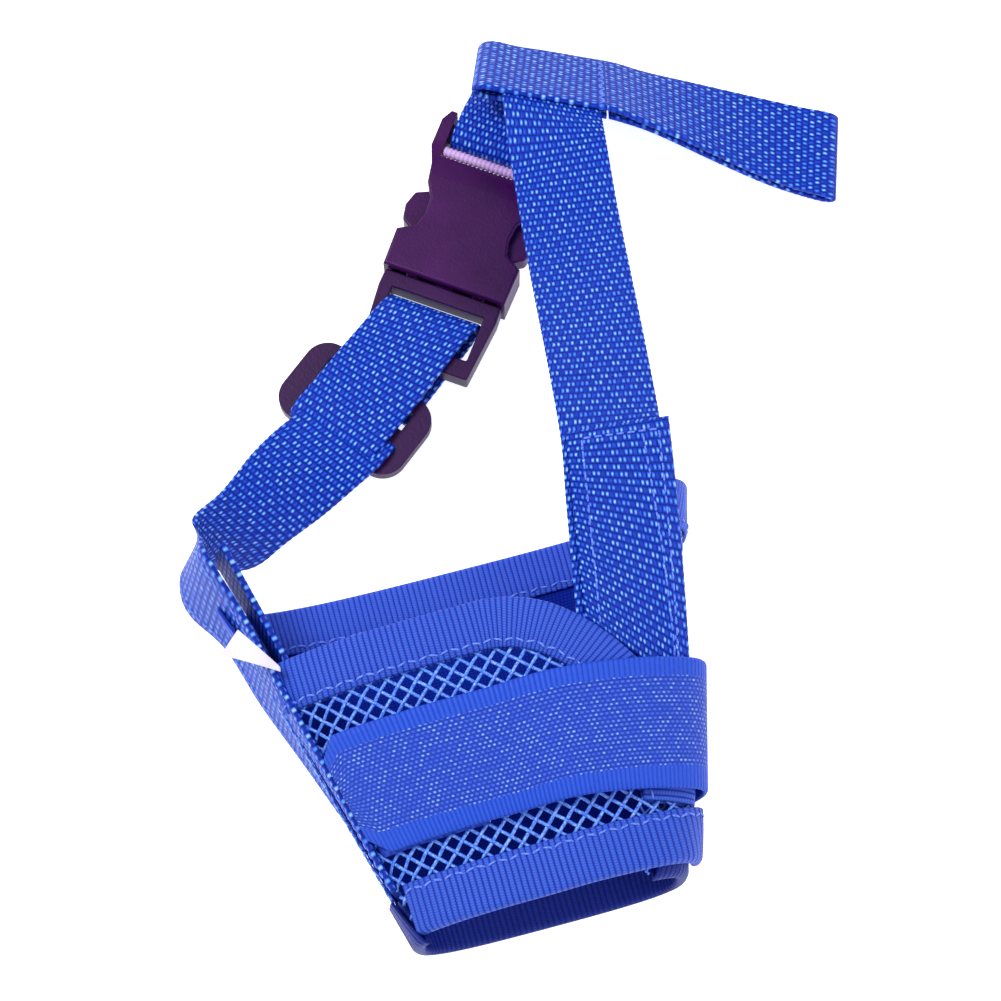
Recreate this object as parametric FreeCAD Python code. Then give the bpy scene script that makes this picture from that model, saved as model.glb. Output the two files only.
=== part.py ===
import FreeCAD, Part
import math
import os

from FreeCAD import Vector

# Driving dimensions, in mm. The sleeve's axis lies along Y, with the face end at +Y and the nose end at -Y.
WEBBING_WIDTH = 25.0
WEBBING = 1.5                    # thickness of the strap webbing
TAPE_WIDTH = 30.0                # width of the hook strap
TAPE = 1.5                       # thickness of the hook strap
BINDING_WIDTH = 12.0
BINDING = 0.9                    # one layer of the folded binding tape
MESH = 1.2
SEWN = 0.1                       # clearance between pieces sewn together

FACE_Y = -16.0
NOSE_Y = -108.0
FACE_CENTRE_X = -16.5
NOSE_CENTRE_X = -16.5
FACE_HALF_WIDTH = 57.5
NOSE_HALF_WIDTH = 31.5
FACE_HEIGHT = 39.0
NOSE_HEIGHT = 30.0
INSIDE_BOTTOM = 3.3              # height of the sleeve's inner face above what it rests on
ROUNDNESS_RIGHT = 3.2            # exponents of the section's upper quarters and lower half; 2 is an ellipse
ROUNDNESS_LEFT = 2.2
ROUNDNESS_BELOW = 3.0

SLEEVE_LENGTH = FACE_Y - NOSE_Y
BINDING_SPAN = BINDING_WIDTH / SLEEVE_LENGTH
TAPE_SPAN = TAPE_WIDTH / SLEEVE_LENGTH

SPINE_EDGE = 152.0               # angle of the spine strap's upper edge
SPINE_LIFT = 4.2
SPINE_FLARE = (2.0, 1.8)         # how much further out its lower edge stands, at the face and the nose end
PANEL_FIRST = 176.0              # the back panel runs from here round the bottom and up the right side
PANEL_LAST = 412.0
FLAP_FIRST = 26.0                # the flap's free right end
FLAP_LAST = 150.5                # where the flap hinges beside the spine strap
FLAP_LIFT = 1.6
CLOSURE_HINGE = -8.0             # angle where the closure strap's free part starts, on the right side
ROOT_LIFT = 2.5                  # underside of the right strap where it is sewn on the back panel
STRAP_LIFT = 3.8                 # how much higher the flap passes over that strap
NOSE_LIFT = 1.8                  # and how much higher its nose end is there

NECK_HINGE = Vector(0, 2.0, 36.0)
NECK_START_Y = 12.3              # where the neck strap's free part starts
NECK_SLANT = 0.12                # how far the right strap moves to +X for each mm of Y
ROOT_SLANT = 0.175               # the same where it is sewn on the sleeve
NECK_X = 27.2                    # the right strap's middle at Y = 0
NECK_Z_HIGH = 42.0
NECK_Z_LOW = 24.0

BUCKLE_ANGLE = 54.5              # direction of the buckle's axis in the XY plane
BUCKLE_MOUTH = Vector(0.1, 56.8, 0)
BUCKLE_LENGTH = 47.0
BUCKLE_BOTTOM = 1.0
BUCKLE_TOP = 12.0
SLOT_HALF_WIDTH = 14.0
MALE_BOTTOM = 3.4
MALE_TOP = 9.4

GLIDE_CENTRE = Vector(-30.1, 31.0, 0)
GLIDE_ANGLE = 39.0               # direction of the webbing through the slide
GLIDE_LENGTH = 38.0
GLIDE_WIDTH = 23.0
GLIDE_BOTTOM = 4.6
GLIDE_TOP = 8.2

# The size label's far and near edge, at its sewn end and at its tip.
LABEL = [(Vector(-71.6, -27.1, 38.4), Vector(-77.0, -30.8, 34.0)),
         (Vector(-64.1, -38.4, 38.2), Vector(-64.2, -39.6, 38.0))]

GRAB_CORNER = Vector(27.0, 122.5, 2.6)
GRAB_ANGLE = -25.7               # direction of the grab loop in the XY plane
GRAB_RISE = 0.7                  # how far its edge near the sleeve rises, per mm across
GRAB_LAYER = 2.4                 # height from one layer of webbing to the next
GRAB_SEAM = 34.0                 # from the fold at its left end to the seam, at the far edge
GRAB_LENGTH = 98.0
BAND_ACROSS = 20.5               # the webbing's width seen from above, as it is tilted


def unit(angle):
    """Unit vector at an angle in degrees in the XY plane."""
    return Vector(math.cos(math.radians(angle)), math.sin(math.radians(angle)), 0)


def mix(a, b, t):
    return a + (b - a) * t


def smooth(x, low, high):
    """0 below low, 1 above high, and an even ramp between."""
    t = min(1.0, max(0.0, (x - low) / (high - low)))
    return t * t * (3 - 2 * t)


# ---- closed solids through four-cornered sections ----

def rail(points, steps):
    curve = Part.BSplineCurve()
    curve.interpolate(Points=points, Parameters=steps)
    return curve.toShape()


def band(sections):
    """Solid through a list of four-cornered sections, smooth along its length."""
    centres = [(a + b + c + d) * 0.25 for a, b, c, d in sections]
    steps = [0.0]
    for before, after in zip(centres, centres[1:]):
        steps.append(steps[-1] + (after - before).Length)
    rails = [rail([section[k] for section in sections], steps) for k in range(4)]
    faces = [Part.makeRuledSurface(rails[k], rails[(k + 1) % 4], 1) for k in range(4)]
    for a, b, c, d in (sections[0], sections[-1]):
        faces.append(Part.makeRuledSurface(Part.makeLine(a, b), Part.makeLine(d, c), 1))
    shell = Part.Shell(faces)
    shell.sewShape()
    solid = Part.Solid(shell)
    if solid.Volume < 0:
        solid.reverse()
    return solid


def ribbon(edges, thickness=WEBBING):
    """Strap whose mid-thickness edges run through a list of point pairs."""
    middle = [(left + right) * 0.5 for left, right in edges]
    sections = []
    for i, (left, right) in enumerate(edges):
        along = middle[min(i + 1, len(edges) - 1)] - middle[max(i - 1, 0)]
        half = (right - left).cross(along).normalize() * (thickness / 2)
        sections.append((left - half, left + half, right + half, right - half))
    return band(sections)


# ---- the sleeve's surface ----

def section_unit(angle):
    """Point of the unit section at an angle (0 right, 90 top, 180 left, 270 bottom) and its exponent there."""
    c = math.cos(math.radians(angle))
    s = math.sin(math.radians(angle))
    power = ROUNDNESS_BELOW
    if s >= 0:
        power = ROUNDNESS_RIGHT if c >= 0 else ROUNDNESS_LEFT
    reach = (abs(c) ** power + abs(s) ** power) ** (-1 / power)
    return reach * c, reach * s, power


def on_sleeve(s, angle, offset):
    """Point at s from the face end (0) to the nose end (1), offset outwards from the inner face."""
    u, v, power = section_unit(angle)
    half_width = mix(FACE_HALF_WIDTH, NOSE_HALF_WIDTH, s)
    half_height = mix(FACE_HEIGHT, NOSE_HEIGHT, s) / 2
    nx = math.copysign(abs(u) ** (power - 1), u) / (FACE_HALF_WIDTH + NOSE_HALF_WIDTH)
    nz = math.copysign(abs(v) ** (power - 1), v) / (FACE_HEIGHT + NOSE_HEIGHT) * 2
    scale = offset / math.hypot(nx, nz)
    x = mix(FACE_CENTRE_X, NOSE_CENTRE_X, s) + half_width * u + nx * scale
    z = INSIDE_BOTTOM + half_height * (1 + v) + nz * scale
    return Vector(x, mix(FACE_Y, NOSE_Y, s), z)


def value(rule, angle):
    return rule(angle) if callable(rule) else rule


def patch(start, end, first, last, inner, outer, steps=14, drop=0):
    """Solid on the sleeve between two values of s and two angles. Any bound but the angles may be a rule.
    Drop is how much nearer to the sleeve its nose end lies."""
    sections = []
    for i in range(steps + 1):
        angle = mix(first, last, i / steps)
        s0 = value(start, angle)
        s1 = value(end, angle)
        low = value(inner, angle)
        high = value(outer, angle)
        fall = value(drop, angle)
        sections.append((on_sleeve(s0, angle, low), on_sleeve(s0, angle, high),
                         on_sleeve(s1, angle, high - fall), on_sleeve(s1, angle, low - fall)))
    return band(sections)


def strap_patch(start, end, start_span, end_span, inner, outer, steps=6, flare=(0, 0)):
    """Strap along the sleeve, between two angles at its start and two at its end. Its end may be a rule.
    Flare is how much further out its second edge stands, at its start and its end."""
    sections = []
    for i in range(steps + 1):
        a0 = mix(start_span[0], start_span[1], i / steps)
        a1 = mix(end_span[0], end_span[1], i / steps)
        s1 = value(end, a1)
        out0 = flare[0] * i / steps
        out1 = flare[1] * i / steps
        sections.append((on_sleeve(start, a0, inner + out0), on_sleeve(start, a0, outer + out0),
                         on_sleeve(s1, a1, outer + out1), on_sleeve(s1, a1, inner + out1)))
    return band(sections)


def angle_after(s, angle, length):
    """Angle reached by going a length along the section; negative goes clockwise."""
    step = math.copysign(0.5, length)
    done = 0.0
    while done < abs(length):
        done += (on_sleeve(s, angle + step, MESH) - on_sleeve(s, angle, MESH)).Length
        angle += step
    return angle


def y_to_s(y):
    return (FACE_Y - y) / SLEEVE_LENGTH


def neck_x(y):
    """X of the right strap's middle."""
    return NECK_X + (NECK_SLANT if y > 0 else ROOT_SLANT) * y


def root_span(s):
    """The two edge angles of the right strap on the sleeve."""
    middle = min(range(20, 85), key=lambda a: abs(on_sleeve(s, a, ROOT_LIFT).x - neck_x(mix(FACE_Y, NOSE_Y, s))))
    return angle_after(s, middle, WEBBING_WIDTH / 2), angle_after(s, middle, -WEBBING_WIDTH / 2)


def flap_under(angle):
    """Height of the flap's underside: low at the left, raised over the right strap."""
    return FLAP_LIFT + STRAP_LIFT * smooth(-angle, -95.0, -70.0)


def flap_over(angle):
    return flap_under(angle) + MESH


def flap_edge(angle):
    """Where the flap's curved face edge lies, as s."""
    u = section_unit(angle)[0]
    return 0.217 + 0.45 * max(u + 0.03, 0.0) ** 2


def closure_under(angle):
    """Height of the closure strap's underside, which comes down to the back panel below the flap's end."""
    return 4.1 + 3.9 * smooth(-angle, -95.0, -70.0) - 6.2 * smooth(-angle, -23.0, 2.0)


def closure_over(angle):
    return closure_under(angle) + TAPE


def closure_edge(angle):
    """Where the closure strap's edge nearer the face lies, as s."""
    u = section_unit(angle)[0]
    return 0.446 + 0.055 * max(u, 0.0) ** 2


def nose_drop(angle):
    """How much nearer to the sleeve the flap's nose end lies than its face end."""
    return (STRAP_LIFT - NOSE_LIFT) * smooth(-angle, -95.0, -70.0)


def nose_under(angle):
    return flap_under(angle) - nose_drop(angle)


def nose_over(angle):
    return nose_under(angle) + MESH


def back_nose_under(angle):
    """Height of the back panel's nose edge, which rises at the left to meet the flap's."""
    return FLAP_LIFT * (1 - smooth(angle, 154.0, 175.0))


def back_nose_over(angle):
    return back_nose_under(angle) + MESH


def folded_tape(start, end, first, last, under, over, panel, steps, drop=0):
    """Binding tape folded over a panel's edge: a thicker patch with the panel taken out."""
    low = lambda angle: value(under, angle) - BINDING - SEWN
    high = lambda angle: value(over, angle) + BINDING + SEWN
    return patch(start, end, first, last, low, high, steps, drop).cut(panel).Solids[0]


def back_panel_pieces():
    panel = patch(0.012, 0.998, PANEL_FIRST, PANEL_LAST, 0, MESH, 26)
    return {
        "back_mesh_panel": panel,
        "face_binding": folded_tape(0, BINDING_SPAN, PANEL_FIRST - 0.7, PANEL_LAST + 0.7, 0, MESH, panel, 26),
        "nose_binding_back": folded_tape(0.87, 1.01, 152, 408, back_nose_under, back_nose_over, panel, 30),
    }


def flap_pieces():
    start = lambda angle: flap_edge(angle) + 0.012
    tape_end = lambda angle: flap_edge(angle) + BINDING_SPAN
    patch_over = lambda angle: flap_over(angle) + 0.9
    patch_under = lambda angle: flap_over(angle) + SEWN
    flap = patch(start, 0.975, FLAP_FIRST + 1, FLAP_LAST, flap_under, flap_over, 22, nose_drop)
    return {
        "front_mesh_flap": flap,
        "flap_binding": folded_tape(flap_edge, tape_end, FLAP_FIRST + 16, FLAP_LAST + 0.3,
                                    flap_under, flap_over, flap, 18),
        "flap_end_binding": folded_tape(flap_edge, 0.845, FLAP_FIRST, FLAP_FIRST + 15.7,
                                        flap_under, flap_over, flap, 5, nose_drop),
        "nose_binding_front": folded_tape(0.855, 0.985, FLAP_FIRST - 6, FLAP_LAST + 0.3,
                                          nose_under, nose_over, flap, 20),
        "loop_tape": patch(0.47, 0.775, 104, FLAP_LAST - 1, patch_under, patch_over, 8),
    }


def strap_pieces_on_sleeve():
    start = y_to_s(-2.7)
    spine_start = (SPINE_EDGE, angle_after(start, SPINE_EDGE, WEBBING_WIDTH))
    spine_end = (SPINE_EDGE, angle_after(0.86, SPINE_EDGE, WEBBING_WIDTH))
    inner_end = (SPINE_EDGE, angle_after(0.24, SPINE_EDGE, WEBBING_WIDTH))
    root_start = root_span(start)
    root_end = root_span(0.6)
    thin = Vector(0, 0, 0.4)
    below_flap = lambda angle: min(0.57, flap_edge(angle) - 0.008)
    label = band([(far, far + thin, near + thin, near) for far, near in LABEL])
    base_y = [mix(FACE_Y, NOSE_Y, closure_edge(-50) + span) for span in (TAPE_SPAN, 0)]
    return {
        "spine_strap": strap_patch(start, 0.86, spine_start, spine_end, SPINE_LIFT, SPINE_LIFT + WEBBING,
                                   flare=SPINE_FLARE),
        "inner_strap": strap_patch(start, 0.24, spine_start, inner_end, -1.4 - WEBBING, -1.4),
        "size_label": label,
        "right_strap_root": strap_patch(start, 0.6, root_start, root_end, ROOT_LIFT, ROOT_LIFT + WEBBING),
        "strap_end_patch": strap_patch(start, below_flap, (root_start[0] - 1, root_start[1] - 1.5),
                                       (root_end[0] - 3, root_end[1]),
                                       ROOT_LIFT + WEBBING + SEWN, ROOT_LIFT + 2 * WEBBING + SEWN),
        "closure_strap_base": Part.makeBox(32, base_y[1] - base_y[0], TAPE, Vector(-22, base_y[0], 0)),
    }


def closure_pieces():
    """The closure strap: its free part, and the stretch round the right side that stays put."""
    end = lambda angle: closure_edge(angle) + TAPE_SPAN
    return {
        "closure_strap": patch(closure_edge, end, CLOSURE_HINGE + 0.4, FLAP_LAST, closure_under, closure_over, 20),
        "closure_strap_side": patch(closure_edge, end, -50, CLOSURE_HINGE - 0.4, closure_under, closure_over, 6),
    }


# ---- the neck straps ----

ALONG = unit(GRAB_ANGLE)
ACROSS = unit(GRAB_ANGLE - 90)


def in_grab(p, q, layer):
    """Point p along the grab loop from its left fold and q across it from its far edge, on a layer."""
    lift = Vector(0, 0, GRAB_RISE * q + GRAB_LAYER * layer)
    return GRAB_CORNER + ALONG * p + ACROSS * q + lift


def in_buckle(u, v, z):
    """Point u along the buckle from its mouth and v to the right of its axis."""
    return BUCKLE_MOUTH + unit(BUCKLE_ANGLE) * u + unit(BUCKLE_ANGLE - 90) * v + Vector(0, 0, z)


def neck_pair(y):
    """The right strap's two edges where its middle is at y."""
    z = mix(NECK_Z_HIGH, NECK_Z_LOW, smooth(y, -10.0, 72.0))
    tilt = 6.0 * (1 - smooth(y, 0.0, 45.0))
    across = Vector(1, -NECK_SLANT, 0).normalize() * (WEBBING_WIDTH / 2)
    middle = Vector(neck_x(y), y, z)
    return middle - across + Vector(0, 0, tilt / 2), middle + across - Vector(0, 0, tilt / 2)


def neck_strap():
    """One length of webbing: up from the sleeve, a hairpin in the grab loop, and round the buckle's bar."""
    edges = [neck_pair(y) for y in (NECK_START_Y, 22, 33, 45, 57, 69, 81)]
    for q in (23, 16, 9, 5):
        edges.append((in_grab(4 + 0.29 * q, q, 2), in_grab(30 + 0.29 * q, q, 2)))
    for q, layer in ((2.8, 1.95), (1.7, 1.5), (1.3, 1.0), (1.7, 0.5), (2.8, 0.05)):
        edges.append((in_grab(4 - layer, q, layer), in_grab(30 - layer, q, layer)))
    bar_left = in_buckle(46, -13.2, 0)
    bar_right = in_buckle(46, 11.8, 0)
    fold_left = in_grab(2, 4, 0)
    fold_right = in_grab(28, 4, 0)
    for t, z in ((0.2, 4.4), (0.5, 6.5), (0.8, 9.2)):
        left = mix(fold_left, bar_left, t)
        right = mix(fold_right, bar_right, t)
        edges.append((Vector(left.x, left.y, z), Vector(right.x, right.y, z)))
    for u, z in ((44.5, 10.1), (41.5, 10.0), (39.6, 8.5), (39.2, 6.5), (39.6, 4.3), (41.5, 2.6), (45, 2.2), (50, 2.2)):
        edges.append((in_buckle(u, -13.2, z), in_buckle(u, 11.8, z)))
    return ribbon(edges)


def seam(q):
    """How far along the grab loop the seam lies, at q across it."""
    return GRAB_SEAM + 0.19 * q


def grab_tunnel():
    """The grab loop's sewn part, round the neck strap: under it, round the left fold and back over it."""
    edges = [(in_grab(seam(4) - 0.3, 4, 1), in_grab(seam(BAND_ACROSS) - 0.3, BAND_ACROSS, 1))]
    for p in (24, 14, 6):
        edges.append((in_grab(p, 4, 1), in_grab(p + 2, BAND_ACROSS, 1)))
    for p, layer in ((2.5, 1.05), (1.0, 1.5), (0.6, 2.0), (1.0, 2.5), (2.5, 2.95)):
        edges.append((in_grab(p, 1.5 * (3 - layer), layer), in_grab(p + 2, BAND_ACROSS, layer)))
    for p in (8, 16, 24):
        edges.append((in_grab(p, 0, 3), in_grab(p + 2, BAND_ACROSS, 3)))
    edges.append((in_grab(seam(0) - 0.3, 0, 3), in_grab(seam(BAND_ACROSS) - 0.3, BAND_ACROSS, 3)))
    return ribbon(edges)


def grab_handle():
    """The grab loop's free part: out from the seam, round its rounded end and back underneath."""
    def level(t, layer):
        """Point pair at t from the seam to the end; it untwists and comes down as it goes."""
        far = in_grab(mix(seam(0) + 0.4, GRAB_LENGTH - 2, t), mix(0, 1.5, t), layer)
        near = in_grab(mix(seam(BAND_ACROSS) + 0.4, GRAB_LENGTH + 1, t), mix(BAND_ACROSS, 25.5, t), layer)
        far.z = mix(far.z, 2.0 + 1.7 * layer, smooth(t, 0, 0.9))
        near.z = mix(near.z, 1.2 + 1.7 * layer, smooth(t, 0, 0.9))
        return far, near
    upper = [level(t, 2.1) for t in (0, 0.15, 0.3, 0.45, 0.6, 0.75, 0.9, 0.97)]
    turn = [level(1.0, 1.7), level(1.01, 1.2), level(1.0, 0.7)]
    lower = [level(t, 0.3 + 0.8 * (1 - smooth(t, 0, 0.5))) for t in (0.97, 0.9, 0.75, 0.6, 0.45, 0.3, 0.15, 0)]
    return ribbon(upper + turn + lower)


def grab_stitching():
    """Row of bartacks through the grab loop's layers at the seam."""
    tacks = []
    for i in range(8):
        q = 1.8 + i * 2.4
        foot = in_grab(seam(q) - 0.9, q, 3)
        tacks.append(Part.makeBox(1.6, 0.6, 0.4, foot + Vector(0, 0, 1.1)))
    return Part.makeCompound(tacks)


LEFT_STRAP = [
    (Vector(-74.8, -0.9, 32.6), Vector(-82.0, -0.9, 9.2)),
    (Vector(-76.2, 5.0, 27.5), Vector(-71.5, -1.6, 4.6)),
    (Vector(-69.9, 12.4, 20.5), Vector(-58.5, 0.6, 3.4)),
    (Vector(-59.0, 23.0, 14.5), Vector(-44.8, 6.2, 4.8)),
    (Vector(-49.5, 30.0, 11.2), Vector(-34.4, 10.6, 8.0)),
    (Vector(-40.6, 35.3, 9.7), Vector(-26.0, 15.0, 9.7)),
]


def between(first, second, t):
    """Pair of edge points part of the way from one pair to the next."""
    return mix(first[0], second[0], t), mix(first[1], second[1], t)


def right_strap_bend():
    start = y_to_s(-1.9)
    left, right = root_span(start)
    middle_offset = ROOT_LIFT + WEBBING / 2
    return ribbon([(on_sleeve(start, left, middle_offset), on_sleeve(start, right, middle_offset)),
                   neck_pair(3.0), neck_pair(7.5), neck_pair(NECK_START_Y - 0.1)])


def adjuster_loop():
    """Webbing from the slide over the male half's bar, down through its window and back underneath."""
    start = GLIDE_CENTRE - unit(GLIDE_ANGLE) * 2.0
    end = in_buckle(-6.4, 0, 0)
    edges = []
    for t, z in ((0, 9.7), (0.2, 9.7), (0.42, 10.2), (0.7, 10.7), (0.86, 10.4), (0.96, 8.8), (1.0, 6.4),
                 (0.96, 3.8), (0.86, 2.0), (0.7, 1.8), (0.42, 2.0), (0.2, 2.6)):
        across = unit(mix(GLIDE_ANGLE, BUCKLE_ANGLE, smooth(t, 0.1, 0.8)) - 90) * (WEBBING_WIDTH / 2)
        middle = mix(start, end, t) + Vector(0, 0, z)
        edges.append((middle - across, middle + across))
    return ribbon(edges)


def neck_pieces():
    return {
        "neck_strap": neck_strap(),
        "grab_tunnel": grab_tunnel(),
        "grab_stitching": grab_stitching(),
        "grab_handle": grab_handle(),
        "left_strap_bend": ribbon(LEFT_STRAP[:2] + [between(LEFT_STRAP[1], LEFT_STRAP[2], 0.95)]),
        "left_strap_upper": ribbon(LEFT_STRAP[2:]),
        "right_strap_bend": right_strap_bend(),
        "adjuster_loop": adjuster_loop(),
    }


# ---- buckle and slide ----

def placed(shape, origin, angle):
    """Shape built along +X, turned to an angle and moved to its place."""
    moved = shape.copy()
    moved.Placement = FreeCAD.Placement(origin, FreeCAD.Rotation(Vector(0, 0, 1), angle))
    return moved


def block(x0, x1, y0, y1, z0, z1):
    return Part.makeBox(x1 - x0, y1 - y0, z1 - z0, Vector(x0, y0, z0))


def prism(outline, z0, z1):
    """Straight prism on a closed list of (x, y) corners."""
    points = [Vector(x, y, z0) for x, y in outline]
    face = Part.Face(Part.makePolygon(points + points[:1]))
    return face.extrude(Vector(0, 0, z1 - z0))


def mirrored(outline):
    """Outline given on its +Y side from one end to the other, closed by its mirror image."""
    return outline + [(x, -y) for x, y in reversed(outline)]


def buckle_female():
    body = prism(mirrored([(0, 16.7), (10.4, 17.0), (13.0, 12.6), (17.0, 11.6), (21.5, 12.0), (25.5, 14.2),
                           (31.0, 15.2), (36.0, 17.2), (44.0, 17.2), (BUCKLE_LENGTH, 15.6)]),
                 BUCKLE_BOTTOM, BUCKLE_TOP)
    cavity = block(-1, 27, -14.6, 14.6, 2.8, 10.2)
    slot = block(34, 40.6, -SLOT_HALF_WIDTH, SLOT_HALF_WIDTH, 0, 13)
    behind_bar = block(44.2, 60, -SLOT_HALF_WIDTH, SLOT_HALF_WIDTH, 0, 13)
    above_bar = block(40, 45, -SLOT_HALF_WIDTH, SLOT_HALF_WIDTH, 9.0, 13)
    below_bar = block(40, 45, -SLOT_HALF_WIDTH, SLOT_HALF_WIDTH, 0, 4.0)
    above_ears = block(38, 60, -20, 20, 11.0, 13)
    for hollow in (cavity, slot, behind_bar, above_bar, below_bar, above_ears):
        body = body.cut(hollow)
    edges = [edge for edge in body.Edges if abs(edge.BoundBox.ZMin - BUCKLE_TOP) < 0.01
             and edge.BoundBox.ZLength < 0.01 and max(v.X for v in edge.Vertexes) < 32
             and min(abs(v.Y) for v in edge.Vertexes) > 11]
    return body.makeFillet(0.8, edges) if edges else body


def buckle_male():
    frame = prism(mirrored([(-22, 14.6), (-4.4, 16.2), (-0.3, 16.0)]), MALE_BOTTOM, MALE_TOP)
    frame = frame.cut(block(-17, -4.4, -13.4, 13.4, 0, 13))
    guide = block(-0.4, 23, -2.4, 2.4, 4.6, 8.2)
    return frame.fuse(guide).removeSplitter()


def latch_arm(side):
    """Latch arm with its thumb lobe, on the +Y (1) or -Y (-1) side."""
    outline = [(0.1, 7.4), (0.1, 10.6), (8.0, 12.4), (12.2, 13.8), (14.4, 17.0), (18.6, 17.8), (22.6, 16.6),
               (24.4, 12.6), (25.6, 10.6), (24.6, 9.0), (12.0, 9.6)]
    return prism([(x, side * y) for x, y in outline], 3.6, 9.2)


def tri_glide():
    half = GLIDE_LENGTH / 2
    plate = block(-GLIDE_WIDTH / 2, GLIDE_WIDTH / 2, -half, half, GLIDE_BOTTOM, GLIDE_TOP)
    corners = [edge for edge in plate.Edges if edge.BoundBox.ZLength > 1]
    plate = plate.makeFillet(6.5, corners)
    for x in (-7.3, 2.1):
        plate = plate.cut(block(x, x + 5.2, -13.2, 13.2, 0, 13))
    return plate


def hard_pieces():
    parts = {"buckle_female": placed(buckle_female(), BUCKLE_MOUTH, BUCKLE_ANGLE),
             "buckle_male": placed(buckle_male(), BUCKLE_MOUTH, BUCKLE_ANGLE),
             "latch_arm_left": placed(latch_arm(1), BUCKLE_MOUTH, BUCKLE_ANGLE),
             "latch_arm_right": placed(latch_arm(-1), BUCKLE_MOUTH, BUCKLE_ANGLE),
             "tri_glide": placed(tri_glide(), GLIDE_CENTRE, GLIDE_ANGLE)}
    return parts


def build():
    parts = {}
    for group in (back_panel_pieces(), flap_pieces(), strap_pieces_on_sleeve(), closure_pieces(),
                  neck_pieces(), hard_pieces()):
        parts.update(group)
    return parts


def main():
    os.makedirs("parts", exist_ok=True)
    parts = build()
    box = FreeCAD.BoundBox()
    for shape in parts.values():
        box.add(shape.optimalBoundingBox())
    shift = Vector(-box.Center.x, -box.Center.y, -box.ZMin)
    for name, shape in parts.items():
        shape.translate(shift)
        shape.exportStep("parts/" + name + ".step")
        print(name, shape.isValid(), len(shape.Solids), round(shape.Volume, 1))
    print("shift", shift, "size", box.XLength, box.YLength, box.ZLength)


main()
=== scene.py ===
"""A soft mesh muzzle with webbing straps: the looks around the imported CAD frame.

Most shapes repeat the CAD source's formulas in its own millimetre coordinates, and
placed() moves them to the row frame. Two stand apart from their solids: the closure
strap turns the right side closer in, and the spine strap's lower edge stands further out.
The net's lining has no solid of its own.
"""

import math

import bmesh
import bpy
import numpy as np
from mathutils import Matrix, Vector

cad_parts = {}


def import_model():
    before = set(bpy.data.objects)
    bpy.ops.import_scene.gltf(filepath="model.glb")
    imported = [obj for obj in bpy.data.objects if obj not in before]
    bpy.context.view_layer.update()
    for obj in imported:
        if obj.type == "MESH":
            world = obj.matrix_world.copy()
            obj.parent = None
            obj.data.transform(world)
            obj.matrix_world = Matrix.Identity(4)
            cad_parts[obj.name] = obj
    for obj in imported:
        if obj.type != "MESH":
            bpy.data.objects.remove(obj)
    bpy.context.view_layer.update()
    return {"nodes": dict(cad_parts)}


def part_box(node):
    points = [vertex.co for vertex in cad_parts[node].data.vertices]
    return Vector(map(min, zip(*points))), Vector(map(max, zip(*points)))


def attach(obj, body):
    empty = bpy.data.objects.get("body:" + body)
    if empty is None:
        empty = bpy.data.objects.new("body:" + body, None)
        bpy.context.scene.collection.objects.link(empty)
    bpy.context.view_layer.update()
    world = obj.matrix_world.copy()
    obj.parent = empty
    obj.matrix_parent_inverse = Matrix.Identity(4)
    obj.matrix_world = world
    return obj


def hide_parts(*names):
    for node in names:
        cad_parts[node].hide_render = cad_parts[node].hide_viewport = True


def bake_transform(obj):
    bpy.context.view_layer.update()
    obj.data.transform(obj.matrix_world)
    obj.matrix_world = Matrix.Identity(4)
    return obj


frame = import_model()

# ---- the CAD source's dimensions, in mm ----

WEBBING_WIDTH, WEBBING = 25.0, 1.5
TAPE_WIDTH, TAPE, HOOK_FIELD = 30.0, 1.5, 21.2
BINDING_WIDTH, BINDING = 12.0, 0.9
MESH, SEWN = 1.2, 0.1
FACE_Y, NOSE_Y = -16.0, -108.0
FACE_CENTRE_X, NOSE_CENTRE_X = -16.5, -16.5
FACE_HALF_WIDTH, NOSE_HALF_WIDTH = 57.5, 31.5
FACE_HEIGHT, NOSE_HEIGHT = 39.0, 30.0
INSIDE_BOTTOM = 3.3
ROUND_RIGHT, ROUND_LEFT, ROUND_BELOW = 3.2, 2.2, 3.0
LENGTH = FACE_Y - NOSE_Y
TAPE_SPAN = TAPE_WIDTH / LENGTH
SPINE_EDGE, SPINE_LIFT = 152.0, 4.2
SPINE_FLARE, SPINE_BULGE = (1.8, 6.0), 1.5   # not the solid's
PANEL_FIRST, PANEL_LAST = 176.0, 412.0
FLAP_FIRST, FLAP_LAST, FLAP_LIFT = 26.0, 150.5, 1.6
ROOT_LIFT, STRAP_LIFT, NOSE_LIFT = 2.5, 3.8, 1.8
CLOSURE_HINGE = -8.0
NECK_START_Y, NECK_SLANT, ROOT_SLANT, NECK_X = 12.3, 0.12, 0.175, 27.2
NECK_Z_HIGH, NECK_Z_LOW = 42.0, 24.0
BUCKLE_ANGLE = 54.5
GLIDE_ANGLE = 39.0
GRAB_ANGLE, GRAB_RISE, GRAB_LAYER = -25.7, 0.7, 2.4
GRAB_SEAM, GRAB_LENGTH, BAND_ACROSS = 34.0, 98.0, 20.5


def vec(x, y, z=0.0):
    return np.array([x, y, z], float)


BUCKLE_MOUTH = vec(0.1, 56.8)
GLIDE_CENTRE = vec(-30.1, 31.0)
GRAB_CORNER = vec(27.0, 122.5, 2.6)


def unit(angle):
    return vec(math.cos(math.radians(angle)), math.sin(math.radians(angle)))


def mix(a, b, t):
    return a + (b - a) * t


def smooth(x, low, high):
    t = np.clip((x - low) / (high - low), 0.0, 1.0)
    return t * t * (3 - 2 * t)


def normed(v):
    return v / np.maximum(np.linalg.norm(v, axis=-1, keepdims=True), 1e-9)


# ---- the sleeve's surface ----


def section_unit(angle):
    a = np.radians(angle)
    c, s = np.cos(a), np.sin(a)
    power = np.where(s < 0, ROUND_BELOW, np.where(c >= 0, ROUND_RIGHT, ROUND_LEFT))
    reach = (np.abs(c) ** power + np.abs(s) ** power) ** (-1 / power)
    return reach * c, reach * s, power


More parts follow.
